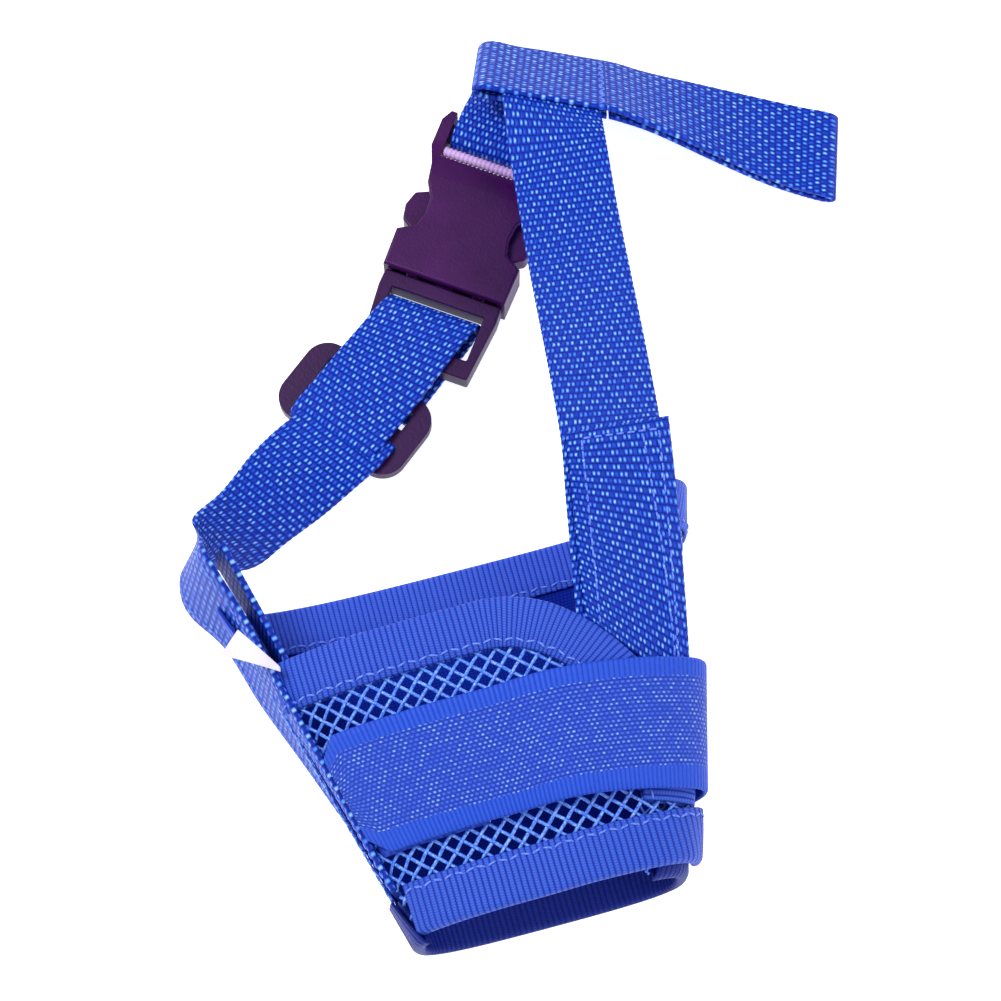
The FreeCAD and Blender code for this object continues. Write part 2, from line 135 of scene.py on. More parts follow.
def on_sleeve(s, angle, offset):
    """Points at s from the face end (0) to the nose end (1), offset outwards from the inner face."""
    s, angle, offset = np.broadcast_arrays(*(np.asarray(given, float) for given in (s, angle, offset)))
    u, v, power = section_unit(angle)
    half_width = mix(FACE_HALF_WIDTH, NOSE_HALF_WIDTH, s)
    half_height = mix(FACE_HEIGHT, NOSE_HEIGHT, s) / 2
    nx = np.copysign(np.abs(u) ** (power - 1), u) / (FACE_HALF_WIDTH + NOSE_HALF_WIDTH)
    nz = np.copysign(np.abs(v) ** (power - 1), v) / (FACE_HEIGHT + NOSE_HEIGHT) * 2
    scale = offset / np.hypot(nx, nz)
    x = mix(FACE_CENTRE_X, NOSE_CENTRE_X, s) + half_width * u + nx * scale
    z = INSIDE_BOTTOM + half_height * (1 + v) + nz * scale
    return np.stack([x, mix(FACE_Y, NOSE_Y, s), z], -1)


ANGLES = np.arange(-70.0, 440.0, 0.5)
GIRTHS = []
for end in (0.0, 1.0):
    ring = on_sleeve(end, ANGLES, MESH)
    steps = np.linalg.norm(np.diff(ring, axis=0), axis=1)
    GIRTHS.append(np.concatenate([[0.0], np.cumsum(steps)]))


def girth(s, angle, middle):
    """Length along the section from a middle angle."""
    table = mix(GIRTHS[0], GIRTHS[1], s)
    return np.interp(angle, ANGLES, table) - np.interp(middle, ANGLES, table)


def angle_at(s, q, middle):
    """The angle that lies a length q along the section from a middle angle."""
    table = mix(GIRTHS[0], GIRTHS[1], s)
    return np.interp(np.interp(middle, ANGLES, table) + q, table, ANGLES)


def angle_after(s, angle, length):
    return float(angle_at(s, length, angle))


def y_to_s(y):
    return (FACE_Y - y) / LENGTH


def neck_x(y):
    return NECK_X + (NECK_SLANT if y > 0 else ROOT_SLANT) * y


def root_span(s):
    x = neck_x(mix(FACE_Y, NOSE_Y, s))
    middle = min(range(20, 85), key=lambda a: abs(float(on_sleeve(s, a, ROOT_LIFT)[0]) - x))
    return angle_after(s, middle, WEBBING_WIDTH / 2), angle_after(s, middle, -WEBBING_WIDTH / 2)


def flap_under(angle):
    return FLAP_LIFT + STRAP_LIFT * smooth(-np.asarray(angle, float), -95.0, -70.0)


def flap_edge(angle):
    return 0.217 + 0.45 * np.maximum(section_unit(angle)[0] + 0.03, 0.0) ** 2


def nose_drop(angle):
    """How much nearer to the sleeve the flap's nose end lies than its face end."""
    return (STRAP_LIFT - NOSE_LIFT) * smooth(-np.asarray(angle, float), -95.0, -70.0)


def flap_height(s, angle):
    """Height of the flap's underside anywhere on it."""
    start = flap_edge(angle)
    return flap_under(angle) - nose_drop(angle) * np.clip((s - start) / (0.975 - start), 0, 1.05)


def back_nose_height(s, angle):
    """Height of the back panel's nose edge, which rises at the left to meet the flap's."""
    return FLAP_LIFT * (1 - smooth(np.asarray(angle, float), 154.0, 175.0)) + 0 * s


def closure_under(angle):
    """Height of the closure tape's underside, up to 3 mm less than the solid's on the right side."""
    angle = np.asarray(angle, float)
    return 4.1 + 3.9 * smooth(-angle, -95.0, -70.0) - 6.4 * smooth(-angle, -34.0, -4.0)


def closure_edge(angle):
    return 0.446 + 0.055 * np.maximum(section_unit(angle)[0], 0.0) ** 2


# The row frame's shift comes from one CAD node whose own corner is known.
_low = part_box("closure_strap_base")[0]
SHIFT = vec(_low.x * 1000 + 22, _low.y * 1000 - mix(FACE_Y, NOSE_Y, float(closure_edge(-50)) + TAPE_SPAN))


def placed(points):
    """Source millimetres to metres in the row frame."""
    return (np.asarray(points, float) + SHIFT) / 1000


# ---- node materials ----


class Tree:
    """A material's nodes, with short calls for the sums that a weave is made of."""

    def __init__(self, name):
        self.material = bpy.data.materials.new(name)
        self.material.use_nodes = True
        self.tree = self.material.node_tree
        self.shader = self.tree.nodes["Principled BSDF"]

    def node(self, kind, values=(), **settings):
        made = self.tree.nodes.new(kind)
        for key, setting in settings.items():
            setattr(made, key, setting)
        for key, given in dict(values).items():
            self.link(made.inputs[key], given)
        return made

    def link(self, socket, given):
        if isinstance(given, bpy.types.NodeSocket):
            self.tree.links.new(given, socket)
        else:
            socket.default_value = given

    def sum(self, operation, a, b=None, c=None, clamp=False):
        values = {i: v for i, v in enumerate((a, b, c)) if v is not None}
        return self.node("ShaderNodeMath", values, operation=operation, use_clamp=clamp).outputs[0]

    def uv(self):
        coords = self.node("ShaderNodeUVMap", uv_map="UVMap")
        split = self.node("ShaderNodeSeparateXYZ", {0: coords.outputs[0]})
        return split.outputs[0], split.outputs[1]

    def noise(self, scale, detail=2.0, rough=0.5):
        vector = self.node("ShaderNodeTexCoord").outputs["Object"]
        return self.node("ShaderNodeTexNoise", {"Vector": vector, "Scale": scale, "Detail": detail,
                                                "Roughness": rough}).outputs["Fac"]

    def ramp(self, factor, stops):
        made = self.node("ShaderNodeValToRGB", {0: factor})
        marks = made.color_ramp.elements
        while len(marks) < len(stops):
            marks.new(0.5)
        for mark, (place, colour) in zip(marks, stops):
            mark.position = place
            mark.color = rgb(*colour)
        return made.outputs[0]

    def blend(self, factor, a, b):
        made = self.node("ShaderNodeMix", {"Factor": factor}, data_type="RGBA")
        self.link(made.inputs[6], a)
        self.link(made.inputs[7], b)
        return made.outputs[2]

    def domes(self, place):
        """1 in the middle of each whole step of place and 0 at the step's ends."""
        centred = self.sum("MULTIPLY_ADD", self.sum("FRACT", place), 2.0, -1.0)
        return self.sum("SUBTRACT", 1.0, self.sum("MULTIPLY", centred, centred), clamp=True)

    def speck(self, column, row):
        """A random value for each cell."""
        cell = self.node("ShaderNodeCombineXYZ", {0: column, 1: row}).outputs[0]
        return self.node("ShaderNodeTexWhiteNoise", {"Vector": cell}, noise_dimensions="3D").outputs["Value"]

    def patchy(self, colour, scale, tint):
        """A colour with soft, faint patches of another."""
        return self.blend(self.sum("MULTIPLY", self.noise(scale, 3.0), 0.25), colour, rgb(*tint))

    def finish(self, colour, height, bump, roughness, **settings):
        self.link(self.shader.inputs["Base Color"], colour)
        self.link(self.shader.inputs["Roughness"], roughness)
        made = self.node("ShaderNodeBump", {"Strength": 1.0, "Distance": bump, "Height": height})
        self.link(self.shader.inputs["Normal"], made.outputs[0])
        for name, given in settings.items():
            self.shader.inputs[name.replace("_", " ")].default_value = given
        return self.material


def rgb(r, g, b):
    """Linear colour from 0-255 display values."""
    def line(x):
        x /= 255
        return x / 12.92 if x <= 0.04045 else ((x + 0.055) / 1.055) ** 2.4
    return (line(r), line(g), line(b), 1.0)


def webbing_material():
    """Flat woven strap: rows of beads across it, in pairs with a low one between, each row shifted; bead tops
    carry painted highlight and the hollows painted shade.
    """
    t = Tree("webbing")
    u, v = t.uv()
    wander = t.noise(90.0, 2.0)
    v = t.sum("ADD", v, t.sum("MULTIPLY", wander, 0.5))
    row = t.sum("DIVIDE", v, 1.8)
    odd = t.sum("MODULO", t.sum("FLOOR", row), 2.0)
    bead = t.sum("ADD", t.sum("DIVIDE", u, 1.16), t.sum("MULTIPLY", odd, 1.5))
    cell = t.sum("FLOOR", bead)
    third = t.sum("COMPARE", t.sum("FLOORED_MODULO", cell, 3.0), 2.0, 0.4)
    dome = t.sum("MULTIPLY", t.domes(bead), t.domes(row))
    dome = t.sum("POWER", dome, 0.7)
    speck = t.speck(cell, t.sum("FLOOR", row))
    level = t.sum("MULTIPLY_ADD", third, -0.42, 1.0)
    level = t.sum("MULTIPLY_ADD", speck, -0.22, level)
    height = t.sum("MULTIPLY", dome, level)
    fibre = t.noise(2600.0, 2.0)
    height = t.sum("MULTIPLY_ADD", fibre, 0.12, height)
    # painted highlight and painted shade: colour follows bead height, light on the bead tops and dark in the
    # hollows between them
    colour = t.ramp(height, [(0.0, (0, 20, 122)), (0.25, (0, 38, 162)), (0.5, (6, 60, 198)),
                             (0.72, (34, 100, 234)), (0.9, (96, 162, 255)), (1.0, (160, 206, 255))])
    colour = t.patchy(colour, 28.0, (10, 54, 180))
    rough = t.sum("MULTIPLY_ADD", height, -0.16, 0.56)
    return t.finish(colour, height, 0.0006, rough, Specular_IOR_Level=0.22)


def grosgrain_material(name, pitch, low, mid, high):
    """Ribbed binding tape: ribs across it, each a column of fine thread loops."""
    t = Tree(name)
    u, v = t.uv()
    v = t.sum("ADD", v, t.sum("MULTIPLY", t.noise(120.0, 2.0), 0.35))
    rib = t.sum("DIVIDE", v, pitch)
    odd = t.sum("MODULO", t.sum("FLOOR", rib), 2.0)
    thread = t.sum("ADD", t.sum("DIVIDE", u, 0.62), t.sum("MULTIPLY", odd, 0.5))
    ribs = t.domes(rib)
    threads = t.domes(thread)
    height = t.sum("MULTIPLY", t.sum("POWER", ribs, 0.6), t.sum("MULTIPLY_ADD", threads, 0.35, 0.65))
    height = t.sum("MULTIPLY_ADD", t.noise(2400.0, 2.0), 0.12, height)
    colour = t.ramp(height, [(0.0, low), (0.45, mid), (1.0, high)])
    colour = t.patchy(colour, 35.0, mid)
    rough = t.sum("MULTIPLY_ADD", height, -0.12, 0.62)
    return t.finish(colour, height, 0.00022, rough, Specular_IOR_Level=0.18)


def hook_material():
    """Hook tape: a field of small hooks in rows, with ribbed selvedges along both edges."""
    t = Tree("hook_tape")
    u, v = t.uv()
    row = u
    odd = t.sum("MODULO", t.sum("FLOOR", row), 2.0)
    hook = t.sum("ADD", t.sum("DIVIDE", v, 1.25), t.sum("MULTIPLY", odd, 0.5))
    hooks = t.sum("MULTIPLY", t.domes(row), t.domes(hook))
    speck = t.speck(t.sum("FLOOR", row), t.sum("FLOOR", hook))
    hooks = t.sum("MULTIPLY", hooks, t.sum("MULTIPLY_ADD", speck, -0.55, 1.0))
    ribs = t.sum("MULTIPLY", t.domes(t.sum("DIVIDE", v, 1.15)), 0.45)
    centred = t.sum("ABSOLUTE", t.sum("SUBTRACT", u, TAPE_WIDTH / 2))
    selvedge = t.sum("GREATER_THAN", centred, HOOK_FIELD / 2)
    height = t.node("ShaderNodeMix", {0: selvedge, 2: hooks, 3: ribs}, data_type="FLOAT").outputs[0]
    height = t.sum("MULTIPLY_ADD", t.noise(2200.0, 2.0), 0.16, height)
    field = t.ramp(height, [(0.0, (18, 46, 166)), (0.35, (38, 70, 190)), (0.75, (74, 112, 226)),
                            (1.0, (150, 184, 255))])
    edge = t.ramp(height, [(0.0, (16, 52, 176)), (0.5, (36, 80, 206)), (1.0, (70, 116, 232))])
    colour = t.blend(selvedge, field, edge)
    colour = t.patchy(colour, 22.0, (40, 76, 198))
    return t.finish(colour, height, 0.00045, 0.55, Specular_IOR_Level=0.18)


def loop_material():
    t = Tree("loop_tape")
    fine = t.sum("MULTIPLY", t.noise(900.0, 4.0, 0.7), 0.7)
    fuzz = t.sum("ADD", fine, t.sum("MULTIPLY", t.noise(260.0, 3.0), 0.3))
    colour = t.ramp(fuzz, [(0.3, (16, 40, 150)), (0.5, (40, 72, 196)), (0.72, (84, 118, 232))])
    return t.finish(colour, fuzz, 0.0012, 0.8, Specular_IOR_Level=0.1)


def net_material():
    """Shiny filament of the open net."""
    t = Tree("net_strand")
    grain = t.noise(1500.0, 2.0)
    colour = t.ramp(grain, [(0.3, (40, 92, 216)), (0.55, (88, 142, 244)), (0.75, (150, 196, 255))])
    return t.finish(colour, grain, 0.00012, 0.3, Specular_IOR_Level=0.5)


def lining_material():
    t = Tree("net_backing")
    u, v = t.uv()
    warp = t.domes(t.sum("DIVIDE", u, 0.8))
    weft = t.domes(t.sum("DIVIDE", v, 0.8))
    height = t.sum("MULTIPLY", warp, weft)
    patch = t.sum("MULTIPLY_ADD", t.noise(60.0, 3.0), 0.5, t.sum("MULTIPLY", height, 0.5))
    colour = t.ramp(patch, [(0.1, (2, 22, 122)), (0.5, (6, 34, 144)), (0.9, (12, 48, 168))])
    return t.finish(colour, height, 0.00015, 0.8, Specular_IOR_Level=0.08)


def plastic_material(name, low, high):
    """Moulded plastic with a fine texture and soft, slightly paler patches of painted sheen."""
    t = Tree(name)
    grain = t.noise(1400.0, 3.0)
    sheen_patches = t.noise(55.0, 4.0, 0.6)
    # painted sheen: random patches run from the base colour to a paler lit tone
    colour = t.ramp(sheen_patches, [(0.3, low), (0.75, high)])
    rough = t.sum("MULTIPLY_ADD", sheen_patches, 0.2, 0.3)
    return t.finish(colour, grain, 0.00006, rough, Specular_IOR_Level=0.2)


def label_material():
    t = Tree("label")
    u, v = t.uv()
    warp = t.domes(t.sum("DIVIDE", u, 0.35))
    height = t.sum("MULTIPLY_ADD", t.noise(700.0, 2.0), 0.4, t.sum("MULTIPLY", warp, 0.6))
    colour = t.ramp(t.noise(70.0, 2.0), [(0.3, (214, 208, 232)), (0.7, (246, 242, 250))])
    return t.finish(colour, height, 0.00006, 0.38, Sheen_Weight=0.2)


def thread_material():
    t = Tree("thread")
    grain = t.noise(3000.0, 2.0)
    colour = t.ramp(grain, [(0.3, (46, 84, 212)), (0.7, (112, 152, 250))])
    return t.finish(colour, grain, 0.0001, 0.45, Sheen_Weight=0.3)


WEAVE = webbing_material()
FRONT_RIBS = grosgrain_material("binding_front", 1.4, (4, 26, 128), (22, 50, 168), (60, 98, 212))
BACK_RIBS = grosgrain_material("binding_back", 1.4, (10, 34, 146), (34, 64, 186), (66, 102, 222))
# painted shade: a much darker copy of the binding tape, standing for the shade inside the nose opening
PAINTED_SHADE_RIBS = grosgrain_material("binding_nose_back_painted_shade", 1.4, (2, 10, 78), (4, 22, 112), (18, 44, 146))
HOOKS = hook_material()
LOOPS = loop_material()
STRAND = net_material()
LINING = lining_material()
PLASTIC = plastic_material("buckle_plastic", (48, 2, 64), (64, 6, 82))
PLASTIC_DARK = plastic_material("buckle_plastic_inner", (38, 2, 56), (52, 6, 72))
# painted highlight: a pale copy of the buckle plastic, standing for the light the knurled bar catches
PLASTIC_PAINTED_HIGHLIGHT = plastic_material("knurled_bar", (176, 138, 196), (214, 180, 236))
SATIN = label_material()
THREAD = thread_material()


# ---- mesh helpers ----


def make(name, points, faces, material, uvs=None, recalc=True):
    """New mesh object from source millimetres."""
    mesh = bpy.data.meshes.new(name)
    mesh.from_pydata(placed(points).tolist(), [], faces)
    if uvs is not None:
        layer = mesh.uv_layers.new(name="UVMap")
        index = np.zeros(len(mesh.loops), int)
        mesh.loops.foreach_get("vertex_index", index)
        layer.data.foreach_set("uv", np.asarray(uvs, np.float32)[index].ravel())
    if recalc:
        work = bmesh.new()
        work.from_mesh(mesh)
        bmesh.ops.recalc_face_normals(work, faces=work.faces)
        work.to_mesh(mesh)
        work.free()
    mesh.shade_smooth()
    mesh.materials.append(material)
    made = bpy.data.objects.new(name, mesh)
    bpy.context.scene.collection.objects.link(made)
    return made


def skin(rings, coords=None):
    """Faces through closed rings of points, with end caps: (points, faces, uvs)."""
    rings = np.asarray(rings, float)
    rows, cols = rings.shape[:2]
    faces = []
    for i in range(rows - 1):
        a = i * cols
        for k in range(cols):
            n = (k + 1) % cols
            faces.append((a + k, a + n, a + cols + n, a + cols + k))
    faces.append(tuple(range(cols - 1, -1, -1)))
    faces.append(tuple(range((rows - 1) * cols, rows * cols)))
    uvs = None if coords is None else np.asarray(coords, float).reshape(-1, 2)
    return rings.reshape(-1, 3), faces, uvs


def spline(t, points, at):
    """Natural cubic spline through points at t, read at other values."""
    points = np.asarray(points, float)
    n, h = len(t), np.diff(t)
    system, target = np.eye(n), np.zeros_like(points)
    for i in range(1, n - 1):
        system[i, i - 1:i + 2] = h[i - 1], 2 * (h[i - 1] + h[i]), h[i]
        target[i] = 6 * ((points[i + 1] - points[i]) / h[i] - (points[i] - points[i - 1]) / h[i - 1])
    bend = np.linalg.solve(system, target)
    i = np.clip(np.searchsorted(t, at) - 1, 0, n - 2)
    span = h[i][:, None]
    a = (t[i + 1] - at)[:, None] / span
    b = 1 - a
    return (a * points[i] + b * points[i + 1]
            + ((a ** 3 - a) * bend[i] + (b ** 3 - b) * bend[i + 1]) * span ** 2 / 6)


# A strap's cross-section as (across, height), from -1 to 1 each.
_flat = [-0.955, -0.86, -0.68, -0.45, -0.2, 0.0, 0.2, 0.45, 0.68, 0.86, 0.955]
STRAP_RING = ([(-1.0, 0.25), (-0.985, 0.72)] + [(t, 1.0) for t in _flat] + [(0.985, 0.72), (1.0, 0.25)]
              + [(1.0, -0.25), (0.985, -0.72)] + [(t, -1.0) for t in reversed(_flat)]
              + [(-0.985, -0.72), (-1.0, -0.25)])


class Strap:
    """One length of webbing or tape through pairs of edge points, cut into pieces at chosen places."""

    def __init__(self, edges, thickness=WEBBING, step=0.6, start=0.0, wave=0.07, clip=0.0):
        left = np.array([a for a, b in edges])
        right = np.array([b for a, b in edges])
        middle = (left + right) / 2
        t = np.concatenate([[0.0], np.cumsum(np.linalg.norm(np.diff(middle, axis=0), axis=1))])
        self.t = np.linspace(0, t[-1], max(2, int(round(t[-1] / step)) + 1))
        self.left, self.right = spline(t, left, self.t), spline(t, right, self.t)
        self.knots, self.start, self.thickness = t, start, thickness
        across = self.right - self.left
        self.width = np.linalg.norm(across, axis=1)
        along = np.gradient((self.left + self.right) / 2, axis=0)
        self.normal = normed(np.cross(across, along))
        across = normed(across)
        ripple = wave * np.cos(2 * math.pi * self.t / 1.8)[:, None]
        if clip:
            cut = np.maximum(0, clip - (self.t[-1] - self.t))[:, None]
            ripple = ripple - cut
        self.left = self.left - across * ripple
        self.right = self.right + across * ripple

    def row(self, knot):
        """The row nearest to one of the pairs it was made from."""
        return int(np.argmin(np.abs(self.t - self.knots[knot])))

    def whole(self, name, material):
        return self.piece(name, 0, len(self.t) - 1, material)

    def piece(self, name, first, last, material):
        """The strap from one row to another as an object."""
        rows = slice(first, last + 1)
        left, right, normal = self.left[rows], self.right[rows], self.normal[rows]
        ring = np.array(STRAP_RING)
        t, h = ring[:, 0], ring[:, 1]
        middle, half = (left + right) / 2, (right - left) / 2
        lift = h * self.thickness / 2
        points = middle[:, None] + half[:, None] * t[None, :, None] + normal[:, None] * lift[None, :, None]
        u = (t + 1) / 2
        width = self.width[rows]
        coords = np.stack([u[None] * width[:, None],
                           np.repeat((self.t[rows] + self.start)[:, None], len(t), 1)], -1)
        points, faces, uvs = skin(points, coords)
        return make(name, points, faces, material, uvs)

    def at(self, row, across, lift):
        """Point on the strap: across from 0 to 1, lift above its middle."""
        return mix(self.left[row], self.right[row], across) + self.normal[row] * lift


def tube_points(line, normals, radius, flat=0.8, sides=6):
    """Rings round a line; flat is its height as a share of its width."""
    along = normed(np.gradient(line, axis=0))
    side = normed(np.cross(along, normals))
    up = np.cross(side, along)
    turn = np.arange(sides) * 2 * math.pi / sides
    radius = np.broadcast_to(radius, len(line))
    return (line[:, None] + side[:, None] * (np.cos(turn)[None, :, None] * radius[:, None, None])
            + up[:, None] * (np.sin(turn)[None, :, None] * radius[:, None, None] * flat))


def join(parts):
    """One (points, faces) from many (points, faces)."""
    points, faces, count = [], [], 0
    for p, f in parts:
        points.append(p)
        faces += [tuple(i + count for i in face) for face in f]
        count += len(p)
    return np.concatenate(points), faces


def stitches(name, line, normals, pitch=2.6, long=1.9, radius=0.26, zigzag=0.0):
    """A row of thread stitches along a line; the line is a finely sampled path."""
    t = np.concatenate([[0.0], np.cumsum(np.linalg.norm(np.diff(line, axis=0), axis=1))])
    parts = []
    count = max(1, int(t[-1] / pitch))
    for i in range(count):
        spread = np.array([-0.5, -0.42, -0.2, 0.2, 0.42, 0.5]) * long
        at = np.clip((i + 0.5) * t[-1] / count + spread, 0, t[-1])
        here = np.stack([np.interp(at, t, line[:, k]) for k in range(3)], -1)
        up = normed(np.stack([np.interp(at, t, normals[:, k]) for k in range(3)], -1))
        if zigzag:
            side = normed(np.cross(normed(np.gradient(here, axis=0)), up))
            here = here + side * (np.linspace(-1, 1, 6) * zigzag * (1 if i % 2 else -1))[:, None]
        here = here + up * (np.array([-0.25, -0.05, 0.1, 0.1, -0.05, -0.25]))[:, None]
        rings = tube_points(here, up, radius * np.array([0.45, 0.85, 1, 1, 0.85, 0.45]), 0.8)
        p, f, _ = skin(rings)
        parts.append((p, f))
    points, faces = join(parts)
    made = make(name, points, faces, THREAD)
    return made


def strap_stitches(name, strap, rows, across, lift=None, **settings):
    """Stitches along a strap: rows and across are matching lists of places."""
    lift = strap.thickness / 2 + 0.05 if lift is None else lift
    count = 60
    r = np.interp(np.linspace(0, 1, count), np.linspace(0, 1, len(rows)), rows)
    a = np.interp(np.linspace(0, 1, count), np.linspace(0, 1, len(across)), across)
    line = np.array([strap.at(int(round(i)), j, lift) for i, j in zip(r, a)])
    normals = np.array([strap.normal[int(round(i))] * (1 if lift > 0 else -1) for i in r])
    return stitches(name, line, normals, **settings)


def dress(piece, slot_name, *nodes):
    """The piece stands for CAD nodes, which are hidden. slot_name is not used."""
    if nodes:
        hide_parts(*nodes)
    return piece


def hold(piece, body, slot_name, *nodes):
    """The piece also rides on a body."""
    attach(piece, body)
    return dress(piece, slot_name, *nodes)


def bend(piece, a, b, start, along, length):
    """Bakes the piece's transform into its mesh; a, b, start and length are not used."""
    along = normed(np.asarray(along, float))
    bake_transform(piece)
    return piece


# ---- the net panels ----

DIAMOND_P, DIAMOND_Q = 4.3, 4.4


def net(name, middle, inside, height, wave=0.2, radius=0.34, sides=6):
    """Open net on the sleeve: two families of strands crossing over and under in diamonds.

    inside(s, angle) says where the panel is, and height(angle) gives the net's mid height.
    """
    count = int(LENGTH / (DIAMOND_P / 6)) + 1
    p = np.linspace(0, LENGTH, count)
    lanes = np.arange(-45, 46)
    parts = []
    for family in (1, -1):
        q = lanes[None] * DIAMOND_Q + family * p[:, None] * (DIAMOND_Q / DIAMOND_P)
        angle = np.stack([angle_at(s, q[i], middle) for i, s in enumerate(p / LENGTH)])
        s = np.repeat((p / LENGTH)[:, None], len(lanes), 1)
        reach = np.stack([np.abs(girth(x, angle[i], middle) - q[i]) < 0.5
                          for i, x in enumerate(p / LENGTH)])
        kept = inside(s, angle) & reach
        over = family * wave * np.cos(math.pi * p / (DIAMOND_P / 2))
        base = height(s, angle)
        points = on_sleeve(s, angle, base + over[:, None])
        normals = normed(on_sleeve(s, angle, base + 1.0) - on_sleeve(s, angle, base))
        for lane in range(len(lanes)):
            run = np.flatnonzero(kept[:, lane])
            for group in np.split(run, np.flatnonzero(np.diff(run) > 1) + 1):
                if len(group) < 4:
                    continue
                rings = tube_points(points[group, lane], normals[group, lane], radius, 0.75, sides)
                pts, faces, _ = skin(rings)
                parts.append((pts, faces))
    points, faces = join(parts)
    return make(name, points, faces, STRAND, recalc=False)


def on_panel(s, angle):
    return (angle >= PANEL_FIRST) & (angle <= PANEL_LAST) & (s >= 0.02) & (s <= 0.995)


def surface_sheet(name, start, end, first, last, under, thickness, material,
                  rows=110, cols=30):
    """A thin closed sheet on the sleeve."""
    angles = np.linspace(first, last, rows)
    s0 = np.broadcast_to(start(angles) if callable(start) else start, rows)
    s1 = np.broadcast_to(end(angles) if callable(end) else end, rows)
    low = np.broadcast_to(under(angles) if callable(under) else under, rows)
    t = np.linspace(0, 1, cols)
    s = s0[:, None] + (s1 - s0)[:, None] * t[None]
    a = np.repeat(angles[:, None], cols, 1)
    top = on_sleeve(s, a, low[:, None] + thickness)
    bottom = on_sleeve(s, a, low[:, None] + 0 * s)
    rings = np.concatenate([top, bottom[:, ::-1]], axis=1)
    q = np.repeat(np.array([float(girth(0.5, x, 270.0)) for x in angles])[:, None], cols, 1)
    coords = np.stack([q, s * LENGTH], -1)
    coords = np.concatenate([coords, coords[:, ::-1]], axis=1)
    points, faces, uvs = skin(rings, coords)
    return make(name, points, faces, material, uvs)


def cut_sheet(piece, first, last, start, end, middle, held, rests_on, *pieces):
    """Works out a sheet's start and end along the sleeve at 41 places round it; the results are not kept."""
    for t in np.linspace(0, 1, 41):
        lows, highs = (float(f(mix(first, last, t))) if callable(f) else f for f in (start, end))


back_net = net("back_net", 270.0, on_panel, lambda s, angle: 0.72 + 0 * angle, wave=0.16, radius=0.3, sides=5)
hold(back_net, "sleeve", "mesh", "back_mesh_panel")
backing = surface_sheet("back_net_backing", 0.02, 0.99, PANEL_FIRST + 0.3, PANEL_LAST - 0.3,
                        0.05, 0.2, LINING)
hold(backing, "sleeve", "mesh")

FLAP_UNDER_SPINE = 156.0
flap_net = net(
    "flap_net", 95.0,
    lambda s, angle: ((angle >= FLAP_FIRST + 0.6) & (angle <= FLAP_UNDER_SPINE) & (s <= 0.98)
                      & (s >= flap_edge(angle) + 0.012)),
    lambda s, angle: flap_height(s, angle) + 0.6, wave=0.24, radius=0.42)
dress(flap_net, "mesh", "front_mesh_flap")

FLAP_HINGE_A = on_sleeve(0.5, 153.2, 2.2)
FLAP_HINGE_B = on_sleeve(0.5, 147.5, 2.2)
FLAP_AXIS = normed(on_sleeve(0.95, 150.5, 2.2) - on_sleeve(0.2, 150.5, 2.2))


def bend_flap(piece):
    """Flap pieces start beneath the spine strap, on the sleeve, and rise beside it; bend() only bakes their
    transform.
    """
    along = FLAP_HINGE_B - FLAP_HINGE_A
    along = along - FLAP_AXIS * (along @ FLAP_AXIS)
    return bend(piece, "sleeve", "flap", FLAP_HINGE_A, along, float(np.linalg.norm(along)))


bend_flap(flap_net)


# ---- folded bindings ----

ROUNDED = 0.3                       # height taken off the tape's cut edges
STITCH_INSET, FLAP_INSET = 10.4, 10.3   # from the fold to the stitches

def fold_profile(tape, thickness):
    """Cross-section of a tape folded over an edge, as (distance in from the fold, height share or metres)."""
    outer = thickness / 2 + SEWN + BINDING
    inner = thickness / 2 + SEWN
    turn = np.linspace(-math.pi / 2, math.pi / 2, 9)
    ring = []
    for d in (tape, tape - 0.35):
        ring.append((d, -outer + (ROUNDED if d == tape else 0.0)))
    ring += [(tape * 0.6, -outer), (tape * 0.3, -outer)]
    ring += [(outer - outer * math.cos(a), outer * math.sin(a)) for a in turn]
    ring += [(tape * 0.3, outer), (tape * 0.6, outer)]
    ring += [(tape - 0.35, outer), (tape, outer - ROUNDED), (tape, inner)]
    ring += [(tape * 0.6, inner), (tape * 0.3, inner)]
    ring += [(outer - inner * math.cos(a), inner * math.sin(a)) for a in turn[::-1]]
    ring += [(tape * 0.3, -inner), (tape * 0.6, -inner), (tape, -inner)]
    return ring


def folded(name, path, middle, height, material, tape=BINDING_WIDTH, ripple=0.05):
    """Binding along a path of (p, q, inward p, inward q) rows on the sleeve."""
    ring = fold_profile(tape, MESH)
    d = np.array([r[0] for r in ring])
    h = np.array([r[1] for r in ring])
    run = np.concatenate([[0.0], np.cumsum(np.linalg.norm(np.diff(path[:, :2], axis=0), axis=1))])
    flow = np.concatenate([[0.0], np.cumsum(np.hypot(np.diff(d), np.diff(h)))])
    rings, coords = [], []
    for (p, q, ip, iq), v in zip(path, run):
        swell = 1 + ripple * math.cos(2 * math.pi * v / 1.4)
        sp, sq = p + ip * d, q + iq * d
        s = sp / LENGTH
        angle = np.array([float(angle_at(a, b, middle)) for a, b in zip(s, sq)])
        rings.append(on_sleeve(s, angle, height(s, angle) + MESH / 2 + h * swell))
        coords.append(np.stack([flow, np.full(len(d), v)], -1))
    points, faces, uvs = skin(rings, coords)
    return make(name, points, faces, material, uvs)


def level_path(s_edge, inward, first, last, middle, step=0.8):
    """Path along an edge at a value of s, from one angle to another."""
    angles = np.linspace(first, last, 400)
    s = s_edge(angles) if callable(s_edge) else np.full(400, s_edge)
    q = np.array([float(girth(a, b, middle)) for a, b in zip(s, angles)])
    p = s * LENGTH
    run = np.concatenate([[0.0], np.cumsum(np.hypot(np.diff(p), np.diff(q)))])
    at = np.linspace(0, run[-1], int(run[-1] / step) + 1)
    p, q = np.interp(at, run, p), np.interp(at, run, q)
    dp, dq = np.gradient(p), np.gradient(q)
    size = np.hypot(dp, dq)
    ip, iq = -dq / size, dp / size
    flip = np.sign(ip) * inward
    return np.stack([p, q, ip * flip, iq * flip], -1)


